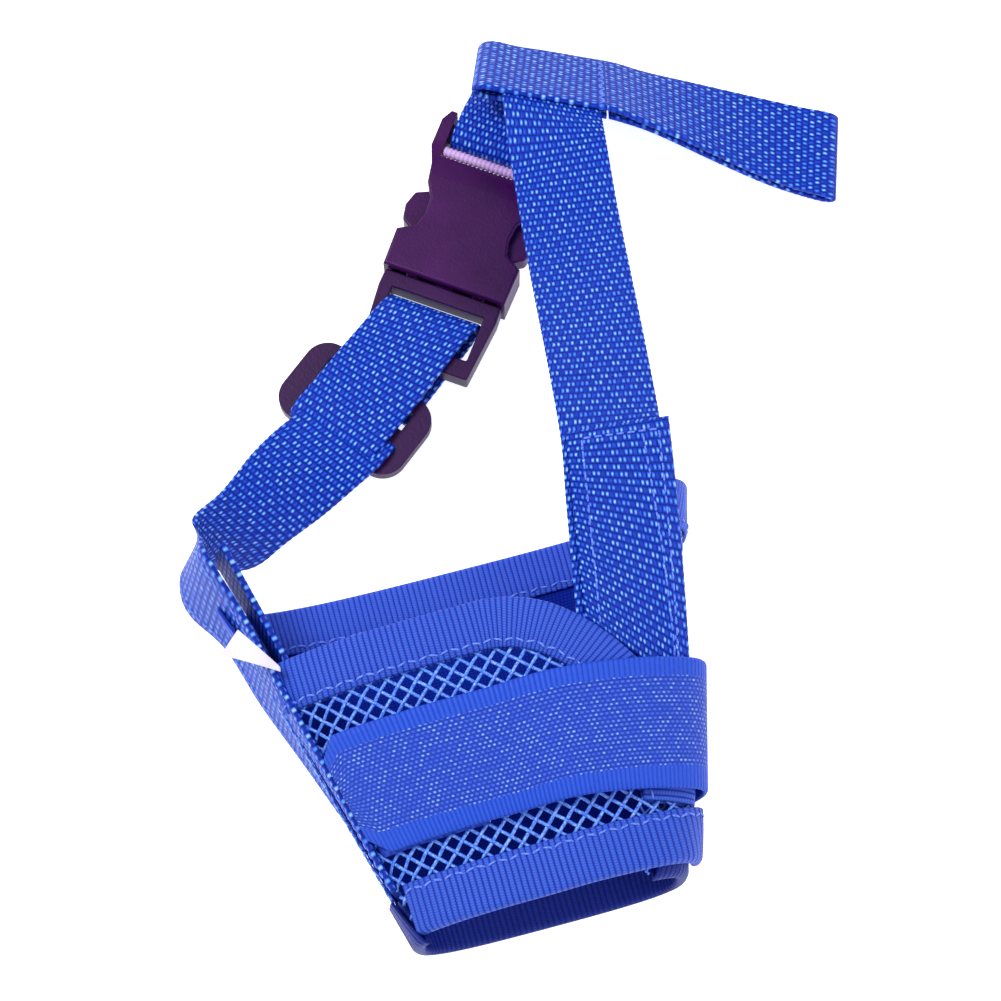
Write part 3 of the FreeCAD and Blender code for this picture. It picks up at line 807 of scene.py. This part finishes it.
def rounded_path(corners, radius, step=0.8):
    """Path of (p, q) through corners rounded by a radius, with its inward normals on the left."""
    corners = [np.array(c, float) for c in corners]
    points = [corners[0]]
    for before, corner, after in zip(corners, corners[1:], corners[2:]):
        a = corner + (before - corner) / np.linalg.norm(before - corner) * radius
        b = corner + (after - corner) / np.linalg.norm(after - corner) * radius
        for t in np.linspace(0, 1, 12):
            points.append(a * (1 - t) ** 2 + corner * 2 * t * (1 - t) + b * t * t)
    points.append(corners[-1])
    points = np.array(points)
    run = np.concatenate([[0.0], np.cumsum(np.hypot(*np.diff(points, axis=0).T))])
    at = np.linspace(0, run[-1], int(run[-1] / step) + 1)
    p, q = np.interp(at, run, points[:, 0]), np.interp(at, run, points[:, 1])
    dp, dq = np.gradient(p), np.gradient(q)
    size = np.hypot(dp, dq)
    return np.stack([p, q, -dq / size, dp / size], -1)


flat_height = lambda s, angle: 0 * s
TOP_LIFT = MESH / 2 + SEWN + BINDING + 0.08


def edge_stitches(name, path, middle, height, inset=STITCH_INSET, lift=TOP_LIFT):
    """Stitches along a binding, a distance in from its fold."""
    s = (path[:, 0] + path[:, 2] * inset) / LENGTH
    angle = np.array([float(angle_at(a, b, middle)) for a, b in zip(s, path[:, 1] + path[:, 3] * inset)])
    base = height(s, angle) + MESH / 2
    line = on_sleeve(s, angle, base + lift)
    normals = normed(on_sleeve(s, angle, base + 1) - on_sleeve(s, angle, base)) * math.copysign(1, lift)
    return stitches(name, line, normals, zigzag=0.45)


face_path = level_path(0.0, 1, PANEL_FIRST - 0.7, PANEL_LAST + 0.7, 270.0)
face_binding = folded("face_binding_tape", face_path, 270.0, flat_height, BACK_RIBS)
hold(face_binding, "sleeve", "binding", "face_binding")
for side, lift in (("outer", TOP_LIFT), ("inner", -TOP_LIFT)):
    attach(edge_stitches("face_stitches_" + side, face_path, 270.0, flat_height, lift=lift), "sleeve")

nose_path = level_path(1.01, -1, 151.6, 408, 270.0)
# painted shade: this tape uses the darkened copy of the binding material
nose_back = folded("nose_binding_back_tape", nose_path, 270.0, back_nose_height, PAINTED_SHADE_RIBS)
hold(nose_back, "sleeve", "binding", "nose_binding_back")
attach(edge_stitches("nose_back_stitches", nose_path, 270.0, back_nose_height, lift=-TOP_LIFT), "sleeve")

flap_path = level_path(flap_edge, 1, FLAP_UNDER_SPINE - 2, FLAP_FIRST + 2, 95.0)
end_q = float(girth(0.5, FLAP_FIRST, 95.0)) + 1.0
keep = [row for row in flap_path if row[1] > end_q + 13]
corner = (keep[-1][0] + 2.0, end_q)
down = (0.853 * LENGTH, float(girth(0.85, FLAP_FIRST, 95.0)) + 1.0)
tail = rounded_path([keep[-1][:2], corner, down], 11.0)
flap_edge_path = np.concatenate([np.array(keep)[:-1], tail * [1, 1, -1, -1]])
if (flap_edge_path[len(keep) + 5, 3]) < 0:
    flap_edge_path[len(keep) - 1:, 2:] *= -1
flap_binding = folded("flap_binding_tape", flap_edge_path, 95.0, flap_height, FRONT_RIBS)
bend_flap(dress(flap_binding, "binding", "flap_binding", "flap_end_binding"))
bend_flap(edge_stitches("flap_stitches", flap_edge_path, 95.0, flap_height, FLAP_INSET))

nose_front_path = level_path(0.985, -1, FLAP_UNDER_SPINE - 2, FLAP_FIRST - 15, 95.0)
nose_front = folded("nose_binding_front_tape", nose_front_path, 95.0, flap_height, FRONT_RIBS)
bend_flap(dress(nose_front, "binding", "nose_binding_front"))
bend_flap(edge_stitches("nose_front_stitches", nose_front_path, 95.0, flap_height, FLAP_INSET))

cut_sheet(backing, PANEL_FIRST + 0.3, PANEL_LAST - 0.3, 0.02, 0.99, 270.0, "stretched",
          [face_binding, nose_back], back_net, face_binding, nose_back)
cut_sheet(flap_net, FLAP_FIRST, FLAP_UNDER_SPINE, flap_edge, 0.98, 95.0, "stretched",
          [flap_binding, nose_front], flap_binding, nose_front)

loop_patch = surface_sheet("loop_patch", 0.47, 0.775, 104, FLAP_LAST - 1,
                           lambda a: flap_under(a) + MESH + SEWN, 0.8, LOOPS, 24, 14)
hold(loop_patch, "flap", "loop_tape", "loop_tape")
cut_sheet(loop_patch, 104, FLAP_LAST - 1, 0.47, 0.775, 95.0, "laid", [flap_net])


# ---- straps on the sleeve and the neck straps ----

START = y_to_s(-2.7)


def sleeve_pairs(start, end, start_span, end_span, offset, count=7, flare=(0.0, 0.0), bulge=0.0):
    """Edge pairs of a strap along the sleeve. Flare is how much further out its second edge stands."""
    pairs = []
    for t in np.linspace(0, 1, count):
        s = mix(start, end, t)
        pairs.append((on_sleeve(s, mix(start_span[0], end_span[0], t), offset),
                      on_sleeve(s, mix(start_span[1], end_span[1], t),
                                offset + mix(flare[0], flare[1], t) + bulge * math.sin(math.pi * t))))
    return pairs


spine_start = (SPINE_EDGE, angle_after(START, SPINE_EDGE, WEBBING_WIDTH))
spine_end = (SPINE_EDGE, angle_after(0.86, SPINE_EDGE, WEBBING_WIDTH))
inner_end = (SPINE_EDGE, angle_after(0.24, SPINE_EDGE, WEBBING_WIDTH))
LEFT_STRAP = [
    (vec(-74.8, -0.9, 32.6), vec(-82.0, -0.9, 9.2)),
    (vec(-76.2, 5.0, 27.5), vec(-71.5, -1.6, 4.6)),
    (vec(-69.9, 12.4, 20.5), vec(-58.5, 0.6, 3.4)),
    (vec(-59.0, 23.0, 14.5), vec(-44.8, 6.2, 4.8)),
    (vec(-49.5, 30.0, 11.2), vec(-34.4, 10.6, 8.0)),
    (vec(-40.6, 35.3, 9.7), vec(-26.0, 15.0, 9.7)),
]
spine_pairs = sleeve_pairs(0.86, START, spine_end, spine_start, SPINE_LIFT + WEBBING / 2,
                           flare=SPINE_FLARE, bulge=SPINE_BULGE)
dip = unit(GLIDE_ANGLE) * 3.4
for forward, z in ((1.0, 8.7), (1.35, 6.2)):
    LEFT_STRAP.append(tuple(vec(p[0], p[1], z) + dip * forward for p in LEFT_STRAP[5]))
left_strap = Strap(spine_pairs + LEFT_STRAP)
cut_a, cut_b = left_strap.row(7), left_strap.row(9)
spine = left_strap.piece("spine_webbing", 0, cut_a, WEAVE)
hold(spine, "sleeve", "webbing", "spine_strap")


def between(strap, first, last):
    """Direction square to two rows of a strap, from the first to the last, and its length."""
    rows = [strap.right[i] - strap.left[i] for i in (first, last)]
    along = np.cross(rows[0], rows[1])
    step = (strap.left[last] + strap.right[last] - strap.left[first] - strap.right[first]) / 2
    if np.linalg.norm(along) < 0.05 * np.linalg.norm(rows[0]) * np.linalg.norm(rows[1]):
        along = step - rows[0] * (step @ rows[0]) / (rows[0] @ rows[0])
    along = normed(along)
    along = along * np.sign(along @ step)
    return (strap.left[first] + strap.right[first]) / 2, along, float(along @ step)


def flexible(name, strap, first, last, a, b, node):
    """The stretch of a strap that runs from body a to body b."""
    piece = dress(strap.piece(name, first, last, WEAVE), "webbing", node)
    return bend(piece, a, b, *between(strap, first, last))


flexible("left_bend_webbing", left_strap, cut_a, cut_b, "sleeve", "neck_loop", "left_strap_bend")
flexible("left_upper_webbing", left_strap, cut_b, len(left_strap.t) - 1,
         "neck_loop", "buckle_plug", "left_strap_upper")

inner = Strap(sleeve_pairs(0.24, START, inner_end, spine_start, -1.4 - WEBBING / 2))
hold(inner.whole("inner_webbing", WEAVE), "sleeve", "webbing", "inner_strap")

spine_rows = np.linspace(2, cut_a - 3, 30)
for n, across in enumerate((0.12, 0.88)):
    made = strap_stitches(f"spine_stitches_{n + 1}", left_strap, list(spine_rows), [across] * 30,
                          lift=-(WEBBING / 2 + 0.05) if left_strap.normal[5][0] > 0 else WEBBING / 2 + 0.05)
    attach(made, "sleeve")

ALONG, ACROSS = unit(GRAB_ANGLE), unit(GRAB_ANGLE - 90)


def in_grab(p, q, layer):
    return GRAB_CORNER + ALONG * p + ACROSS * q + vec(0, 0, GRAB_RISE * q + GRAB_LAYER * layer)


def in_buckle(u, v, z):
    return BUCKLE_MOUTH + unit(BUCKLE_ANGLE) * u + unit(BUCKLE_ANGLE - 90) * v + vec(0, 0, z)


def seam(q):
    return GRAB_SEAM + 0.19 * q


def neck_pair(y):
    z = mix(NECK_Z_HIGH, NECK_Z_LOW, float(smooth(y, -10.0, 72.0)))
    tilt = 6.0 * (1 - float(smooth(y, 0.0, 45.0)))
    across = normed(vec(1, -NECK_SLANT)) * (WEBBING_WIDTH / 2)
    middle = vec(neck_x(y), y, z)
    return middle - across + vec(0, 0, tilt / 2), middle + across - vec(0, 0, tilt / 2)


root_start, root_end = root_span(START), root_span(0.6)
right_pairs = sleeve_pairs(0.6, y_to_s(-4.5), root_end, root_start, ROOT_LIFT + WEBBING / 2)
right_pairs += [neck_pair(y) for y in (3.0, 7.5, NECK_START_Y, 22, 33, 45, 57, 69, 81)]
for q in (23, 16, 9, 5):
    right_pairs.append((in_grab(4 + 0.29 * q, q, 2), in_grab(30 + 0.29 * q, q, 2)))
for q, layer in ((2.8, 1.95), (1.7, 1.5), (1.3, 1.0), (1.7, 0.5), (2.8, 0.05)):
    right_pairs.append((in_grab(4 - layer, q, layer), in_grab(30 - layer, q, layer)))
for t, z in ((0.2, 4.4), (0.5, 6.5), (0.8, 9.2)):
    left = mix(in_grab(2, 4, 0), in_buckle(46, -13.2, 0), t)
    right = mix(in_grab(28, 4, 0), in_buckle(46, 11.8, 0), t)
    right_pairs.append((vec(left[0], left[1], z), vec(right[0], right[1], z)))
for u, z in ((44.5, 10.1), (41.5, 10.0), (39.6, 8.5), (39.2, 6.5), (39.6, 4.3), (41.5, 2.6),
             (45, 2.2), (50, 2.2)):
    right_pairs.append((in_buckle(u, -13.2, z), in_buckle(u, 11.8, z)))
right_strap = Strap(right_pairs)
cut_root, cut_neck = right_strap.row(6), right_strap.row(9)
root = right_strap.piece("right_root_webbing", 0, cut_root, WEAVE)
hold(root, "sleeve", "webbing", "right_strap_root")
flexible("right_bend_webbing", right_strap, cut_root, cut_neck, "sleeve", "neck_loop", "right_strap_bend")
neck = right_strap.piece("neck_webbing", cut_neck, len(right_strap.t) - 1, WEAVE)
hold(neck, "neck_loop", "webbing", "neck_strap")

below_flap = lambda angle: min(0.57, float(flap_edge(angle)) - 0.008)
patch_pairs = []
for t in np.linspace(0, 1, 7):
    pair = []
    for side, (da, db) in enumerate(((-1, -3), (-1.5, 0))):
        a1 = root_end[side] + db
        s = mix(START, below_flap(a1), t)
        pair.append(on_sleeve(s, mix(root_start[side] + da, a1, t), ROOT_LIFT + 1.5 * WEBBING + SEWN))
    patch_pairs.append(tuple(pair))
end_patch = Strap(patch_pairs, start=0.9)
hold(end_patch.whole("end_patch_webbing", WEAVE), "sleeve", "webbing", "strap_end_patch")
last = len(end_patch.t) - 1
up = 1 if end_patch.normal[last // 2][2] > 0 else -1
for n, (rows, across) in enumerate((([4, last - 1], [0.13, 0.13]), ([4, last - 1], [0.88, 0.88]),
                                    ([4, 4], [0.13, 0.88]), ([5, last // 2, last - 2], [0.72, 0.8, 0.86]))):
    made = strap_stitches(f"patch_stitches_{n + 1}", end_patch, rows, across, lift=up * (WEBBING / 2 + 0.05))
    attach(made, "sleeve")

# ---- grab loop ----

tunnel_pairs = [(in_grab(seam(4) - 0.3, 4, 1), in_grab(seam(BAND_ACROSS) - 0.3, BAND_ACROSS, 1))]
for p in (24, 14, 6):
    tunnel_pairs.append((in_grab(p, 4, 1), in_grab(p + 2, BAND_ACROSS, 1)))
for p, layer in ((2.5, 1.05), (1.0, 1.5), (0.6, 2.0), (1.0, 2.5), (2.5, 2.95)):
    tunnel_pairs.append((in_grab(p, 1.5 * (3 - layer), layer), in_grab(p + 2, BAND_ACROSS, layer)))
for p in (8, 16, 24):
    tunnel_pairs.append((in_grab(p, 0, 3), in_grab(p + 2, BAND_ACROSS, 3)))
tunnel_pairs.append((in_grab(seam(0) - 0.3, 0, 3), in_grab(seam(BAND_ACROSS) - 0.3, BAND_ACROSS, 3)))
tunnel = Strap(tunnel_pairs)
hold(tunnel.whole("grab_tunnel_webbing", WEAVE), "neck_loop", "webbing", "grab_tunnel")


def grab_level(t, layer):
    far = in_grab(mix(seam(0) + 0.4, GRAB_LENGTH - 2, t), mix(0, 1.5, t), layer)
    near = in_grab(mix(seam(BAND_ACROSS) + 0.4, GRAB_LENGTH + 1, t), mix(BAND_ACROSS, 25.5, t), layer)
    far[2] = mix(far[2], 2.0 + 1.7 * layer, float(smooth(t, 0, 0.9)))
    near[2] = mix(near[2], 1.2 + 1.7 * layer, float(smooth(t, 0, 0.9)))
    return far, near


handle_pairs = [grab_level(t, layer) for t, layer in ((-0.018, 3.0), (0.04, 2.9), (0.1, 2.55), (0.18, 2.2))]
handle_pairs += [grab_level(t, 2.1) for t in (0.3, 0.45, 0.6, 0.75, 0.9, 0.97)]
handle_pairs += [grab_level(1.0, 1.7), grab_level(1.01, 1.2), grab_level(1.0, 0.7)]
handle_pairs += [grab_level(t, 0.3 + 0.8 * (1 - float(smooth(t, 0, 0.5))))
                 for t in (0.97, 0.9, 0.75, 0.6, 0.45, 0.3, 0.15, 0)]
handle = Strap(handle_pairs, start=58.0)
handle_piece = handle.whole("grab_handle_webbing", WEAVE)
dress(handle_piece, "webbing", "grab_handle")
square = normed(ALONG - 0.19 * ACROSS)
bend(handle_piece, "neck_loop", "handle", in_grab(seam(12) + 0.3, 12, 2), square, 9.0)

tack_line = []
for q in np.linspace(1.4, 19.2, 40):
    tack_line.append(in_grab(seam(q) - 1.5, q, 3) + vec(0, 0, WEBBING / 2 + 0.1))
tack_line = np.array(tack_line)
tack_up = np.tile(normed(np.cross(ACROSS + vec(0, 0, GRAB_RISE), ALONG)) * -1, (40, 1))
if tack_up[0][2] < 0:
    tack_up = -tack_up
tacks = stitches("grab_bartacks", tack_line, tack_up, pitch=1.5, long=1.3, radius=0.24, zigzag=1.1)
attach(tacks, "neck_loop")
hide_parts("grab_stitching")

# ---- adjuster loop ----

loop_start = GLIDE_CENTRE - unit(GLIDE_ANGLE) * 2.0
loop_end = in_buckle(-6.4, 0, 0)
loop_pairs = []
for t, z in ((-0.245, 6.4), (-0.225, 8.9), (-0.17, 10.2), (0, 10.1), (0.2, 9.9), (0.42, 10.2), (0.7, 10.7),
             (0.86, 10.4), (0.96, 8.8), (1.0, 6.4), (0.96, 3.8), (0.86, 2.0), (0.7, 1.8), (0.42, 2.0),
             (0.2, 2.6)):
    side = unit(mix(GLIDE_ANGLE, BUCKLE_ANGLE, float(smooth(t, 0.1, 0.8))) - 90) * (WEBBING_WIDTH / 2)
    centre = mix(loop_start, loop_end, t) + vec(0, 0, z)
    loop_pairs.append((centre - side, centre + side))
adjuster = Strap(loop_pairs, start=3.0)
hold(adjuster.whole("adjuster_webbing", WEAVE), "buckle_plug", "webbing", "adjuster_loop")

# ---- closure strap ----

closure_pairs = [(vec(x, mix(FACE_Y, NOSE_Y, float(closure_edge(-50))), 0.78),
                  vec(x, mix(FACE_Y, NOSE_Y, float(closure_edge(-50)) + TAPE_SPAN), 0.78))
                 for x in (-21.7, -12.0, -3.0, 5.0)]
for angle in np.concatenate([[-52.0, -40.0], np.linspace(-28, FLAP_LAST, 30)]):
    low, edge = float(closure_under(angle)) + TAPE / 2, float(closure_edge(angle))
    closure_pairs.append((on_sleeve(edge, angle, low), on_sleeve(edge + TAPE_SPAN, angle, low)))
closure = Strap(closure_pairs, thickness=TAPE, step=0.8, wave=0.03, clip=4.5)
closure_piece = closure.whole("closure_tape", HOOKS)
dress(closure_piece, "hook_tape", "closure_strap", "closure_strap_side", "closure_strap_base")
hinge_point = on_sleeve(0.55, CLOSURE_HINGE, 4.0)
bend(closure_piece, "sleeve", "closure", hinge_point - vec(0, 0, 3.5), vec(0, 0, 1), 7.0)

# ---- size label ----

LABEL = [(vec(-71.6, -27.1, 38.6), vec(-77.0, -30.8, 34.2)),
         (vec(-64.1, -38.4, 38.4), vec(-64.2, -39.6, 38.2))]
label_rows = []
for t in np.linspace(0, 1, 6):
    lift = vec(0, 0, 0.5 * math.sin(math.pi * t))
    label_rows.append((mix(LABEL[0][0], LABEL[1][0], t) + lift, mix(LABEL[0][1], LABEL[1][1], t) + lift))
label = Strap(label_rows, thickness=0.35, step=0.6, wave=0.0)
hold(label.whole("size_label_satin", SATIN), "sleeve", "label", "size_label")

# ---- buckle and slide ----


def local(point, origin, angle):
    """Row-frame metres to a part's own millimetres."""
    p = np.array(point) * 1000 - SHIFT - origin
    a, b = unit(angle), unit(angle + 90)
    return np.array([p @ a, p @ b, p[2]])


def world(point, origin, angle):
    return Vector(placed(origin + unit(angle) * point[0] + unit(angle + 90) * point[1] + vec(0, 0, point[2])))


def moulded(name, node, body, origin, angle, material, bevel, shape=None, cuts=()):
    """A moulded piece: the CAD node's outline with rounded edges and its top reshaped."""
    mesh = frame["nodes"][node].data.copy()
    work = bmesh.new()
    work.from_mesh(mesh)
    bmesh.ops.remove_doubles(work, verts=work.verts, dist=2e-6)
    for u in cuts:
        bmesh.ops.bisect_plane(work, geom=work.verts[:] + work.edges[:] + work.faces[:], dist=1e-6,
                               plane_co=world((u, 0, 0), origin, angle), plane_no=Vector(unit(angle)))
    if shape:
        for vert in work.verts:
            p = local(vert.co, origin, angle)
            moved = shape(p)
            if moved is not None:
                vert.co = world(moved, origin, angle)
    bmesh.ops.dissolve_limit(work, angle_limit=math.radians(2), verts=work.verts, edges=work.edges)
    work.to_mesh(mesh)
    work.free()
    mesh.materials.clear()
    mesh.materials.append(material)
    made = bpy.data.objects.new(name, mesh)
    bpy.context.scene.collection.objects.link(made)
    rounding = made.modifiers.new("rounding", "BEVEL")
    rounding.width = bevel / 1000
    rounding.segments = 3
    rounding.limit_method = "ANGLE"
    rounding.angle_limit = math.radians(28)
    rounding.harden_normals = False
    mesh.shade_smooth()
    crisp = made.modifiers.new("crisp", "WEIGHTED_NORMAL")
    crisp.keep_sharp = True
    hold(made, body, "buckle_plastic", node)


def female_shape(p):
    """The rear band slopes down to the mouth of the slot."""
    u, v, z = p
    if z > 10.6 and u > 27.6:
        top = mix(12.0, 10.3, min(1.0, (u - 27.5) / 6.5)) if u <= 34.2 else 10.6
        return (u, v, min(z, top))
    return None


moulded("buckle_socket", "buckle_female", "neck_loop", BUCKLE_MOUTH, BUCKLE_ANGLE, PLASTIC, 0.45,
        female_shape, cuts=(27.5,))


def male_shape(p):
    """The window's ends come in close to the webbing."""
    solid_half_width, half_width = 13.4, 12.65
    if abs(abs(p[1]) - solid_half_width) < 0.2 and p[0] < -4:
        return (p[0], math.copysign(half_width, p[1]), p[2])
    return None


moulded("buckle_plug_frame", "buckle_male", "buckle_plug", BUCKLE_MOUTH, BUCKLE_ANGLE, PLASTIC_DARK, 0.5,
        male_shape)
moulded("latch_left_plastic", "latch_arm_left", "latch_left", BUCKLE_MOUTH, BUCKLE_ANGLE, PLASTIC, 0.6)
moulded("latch_right_plastic", "latch_arm_right", "latch_right", BUCKLE_MOUTH, BUCKLE_ANGLE, PLASTIC, 0.6)
moulded("slide_plastic", "tri_glide", "slide", GLIDE_CENTRE, GLIDE_ANGLE, PLASTIC_DARK, 0.8)


def knurled_bar():
    """Ribbed bar across the socket's slot, in front of the webbing, coloured pale as a painted highlight."""
    rings = []
    for v in np.arange(-13.8, 13.81, 0.3):
        radius = 1.35 + 0.16 * math.cos(2 * math.pi * v / 1.2)
        turn = np.arange(16) * 2 * math.pi / 16
        rings.append([in_buckle(36.2 + radius * math.cos(a), v, 8.6 + radius * math.sin(a)) for a in turn])
    points, faces, _ = skin(rings)
    return make("socket_grip_bar", points, faces, PLASTIC_PAINTED_HIGHLIGHT)


hold(knurled_bar(), "neck_loop", "buckle_plastic")


# ---- stage, light, camera ----

FLOOR_LEVEL = -0.0004
CAMERA_DISTANCE, CAMERA_LENS = 0.7, 98.7

floor_mesh = bpy.data.meshes.new("floor")
floor_corners = [(x, y, FLOOR_LEVEL) for x, y in ((-3, -3), (3, -3), (3, 3), (-3, 3))]
floor_mesh.from_pydata(floor_corners, [], [(0, 1, 2, 3)])
floor = bpy.data.objects.new("floor", floor_mesh)
bpy.context.scene.collection.objects.link(floor)
pale = bpy.data.materials.new("floor")
pale.use_nodes = True
shader = pale.node_tree.nodes["Principled BSDF"]
shader.inputs["Base Color"].default_value = (0.92, 0.92, 0.93, 1)
shader.inputs["Roughness"].default_value = 0.9
shader.inputs["Specular IOR Level"].default_value = 0.1
shader.inputs["Emission Color"].default_value = (1, 1, 1, 1)
shader.inputs["Emission Strength"].default_value = 0.8
floor_mesh.materials.append(pale)

world_light = bpy.data.worlds.new("studio")
world_light.use_nodes = True
sky = world_light.node_tree.nodes["Background"]
sky.inputs[0].default_value = (1, 1, 1, 1)
sky.inputs[1].default_value = 0.55
bpy.context.scene.world = world_light


def area_light(name, place, size, power):
    data = bpy.data.lights.new(name, "AREA")
    data.shape = "DISK"
    data.size = size
    data.energy = power
    lamp = bpy.data.objects.new(name, data)
    bpy.context.scene.collection.objects.link(lamp)
    lamp.location = place
    lamp.rotation_mode = "QUATERNION"
    lamp.rotation_quaternion = (-Vector(place)).to_track_quat("-Z", "Y")


area_light("key", (-0.45, 0.35, 0.95), 0.5, 9.0)
area_light("fill", (0.7, -0.5, 0.8), 0.9, 5.0)

target = Vector((SHIFT[0] / 1000, SHIFT[1] / 1000, 0))
back = Vector((-0.0800, -0.2985, 0.9511)).normalized()
right = Vector((0.9659, -0.2588, 0.0)).normalized()
upward = back.cross(right).normalized()
right = upward.cross(back)
camera_data = bpy.data.cameras.new("camera")
camera_data.lens = CAMERA_LENS
camera_data.sensor_width = 36.0
camera_data.clip_start = 0.01
camera_data.clip_end = 20
camera = bpy.data.objects.new("camera", camera_data)
bpy.context.scene.collection.objects.link(camera)
turned = Matrix((right, upward, back)).transposed().to_4x4()
turned.translation = target + back * CAMERA_DISTANCE
camera.matrix_world = turned
bpy.context.scene.camera = camera
bpy.context.scene.view_settings.view_transform = "Standard"
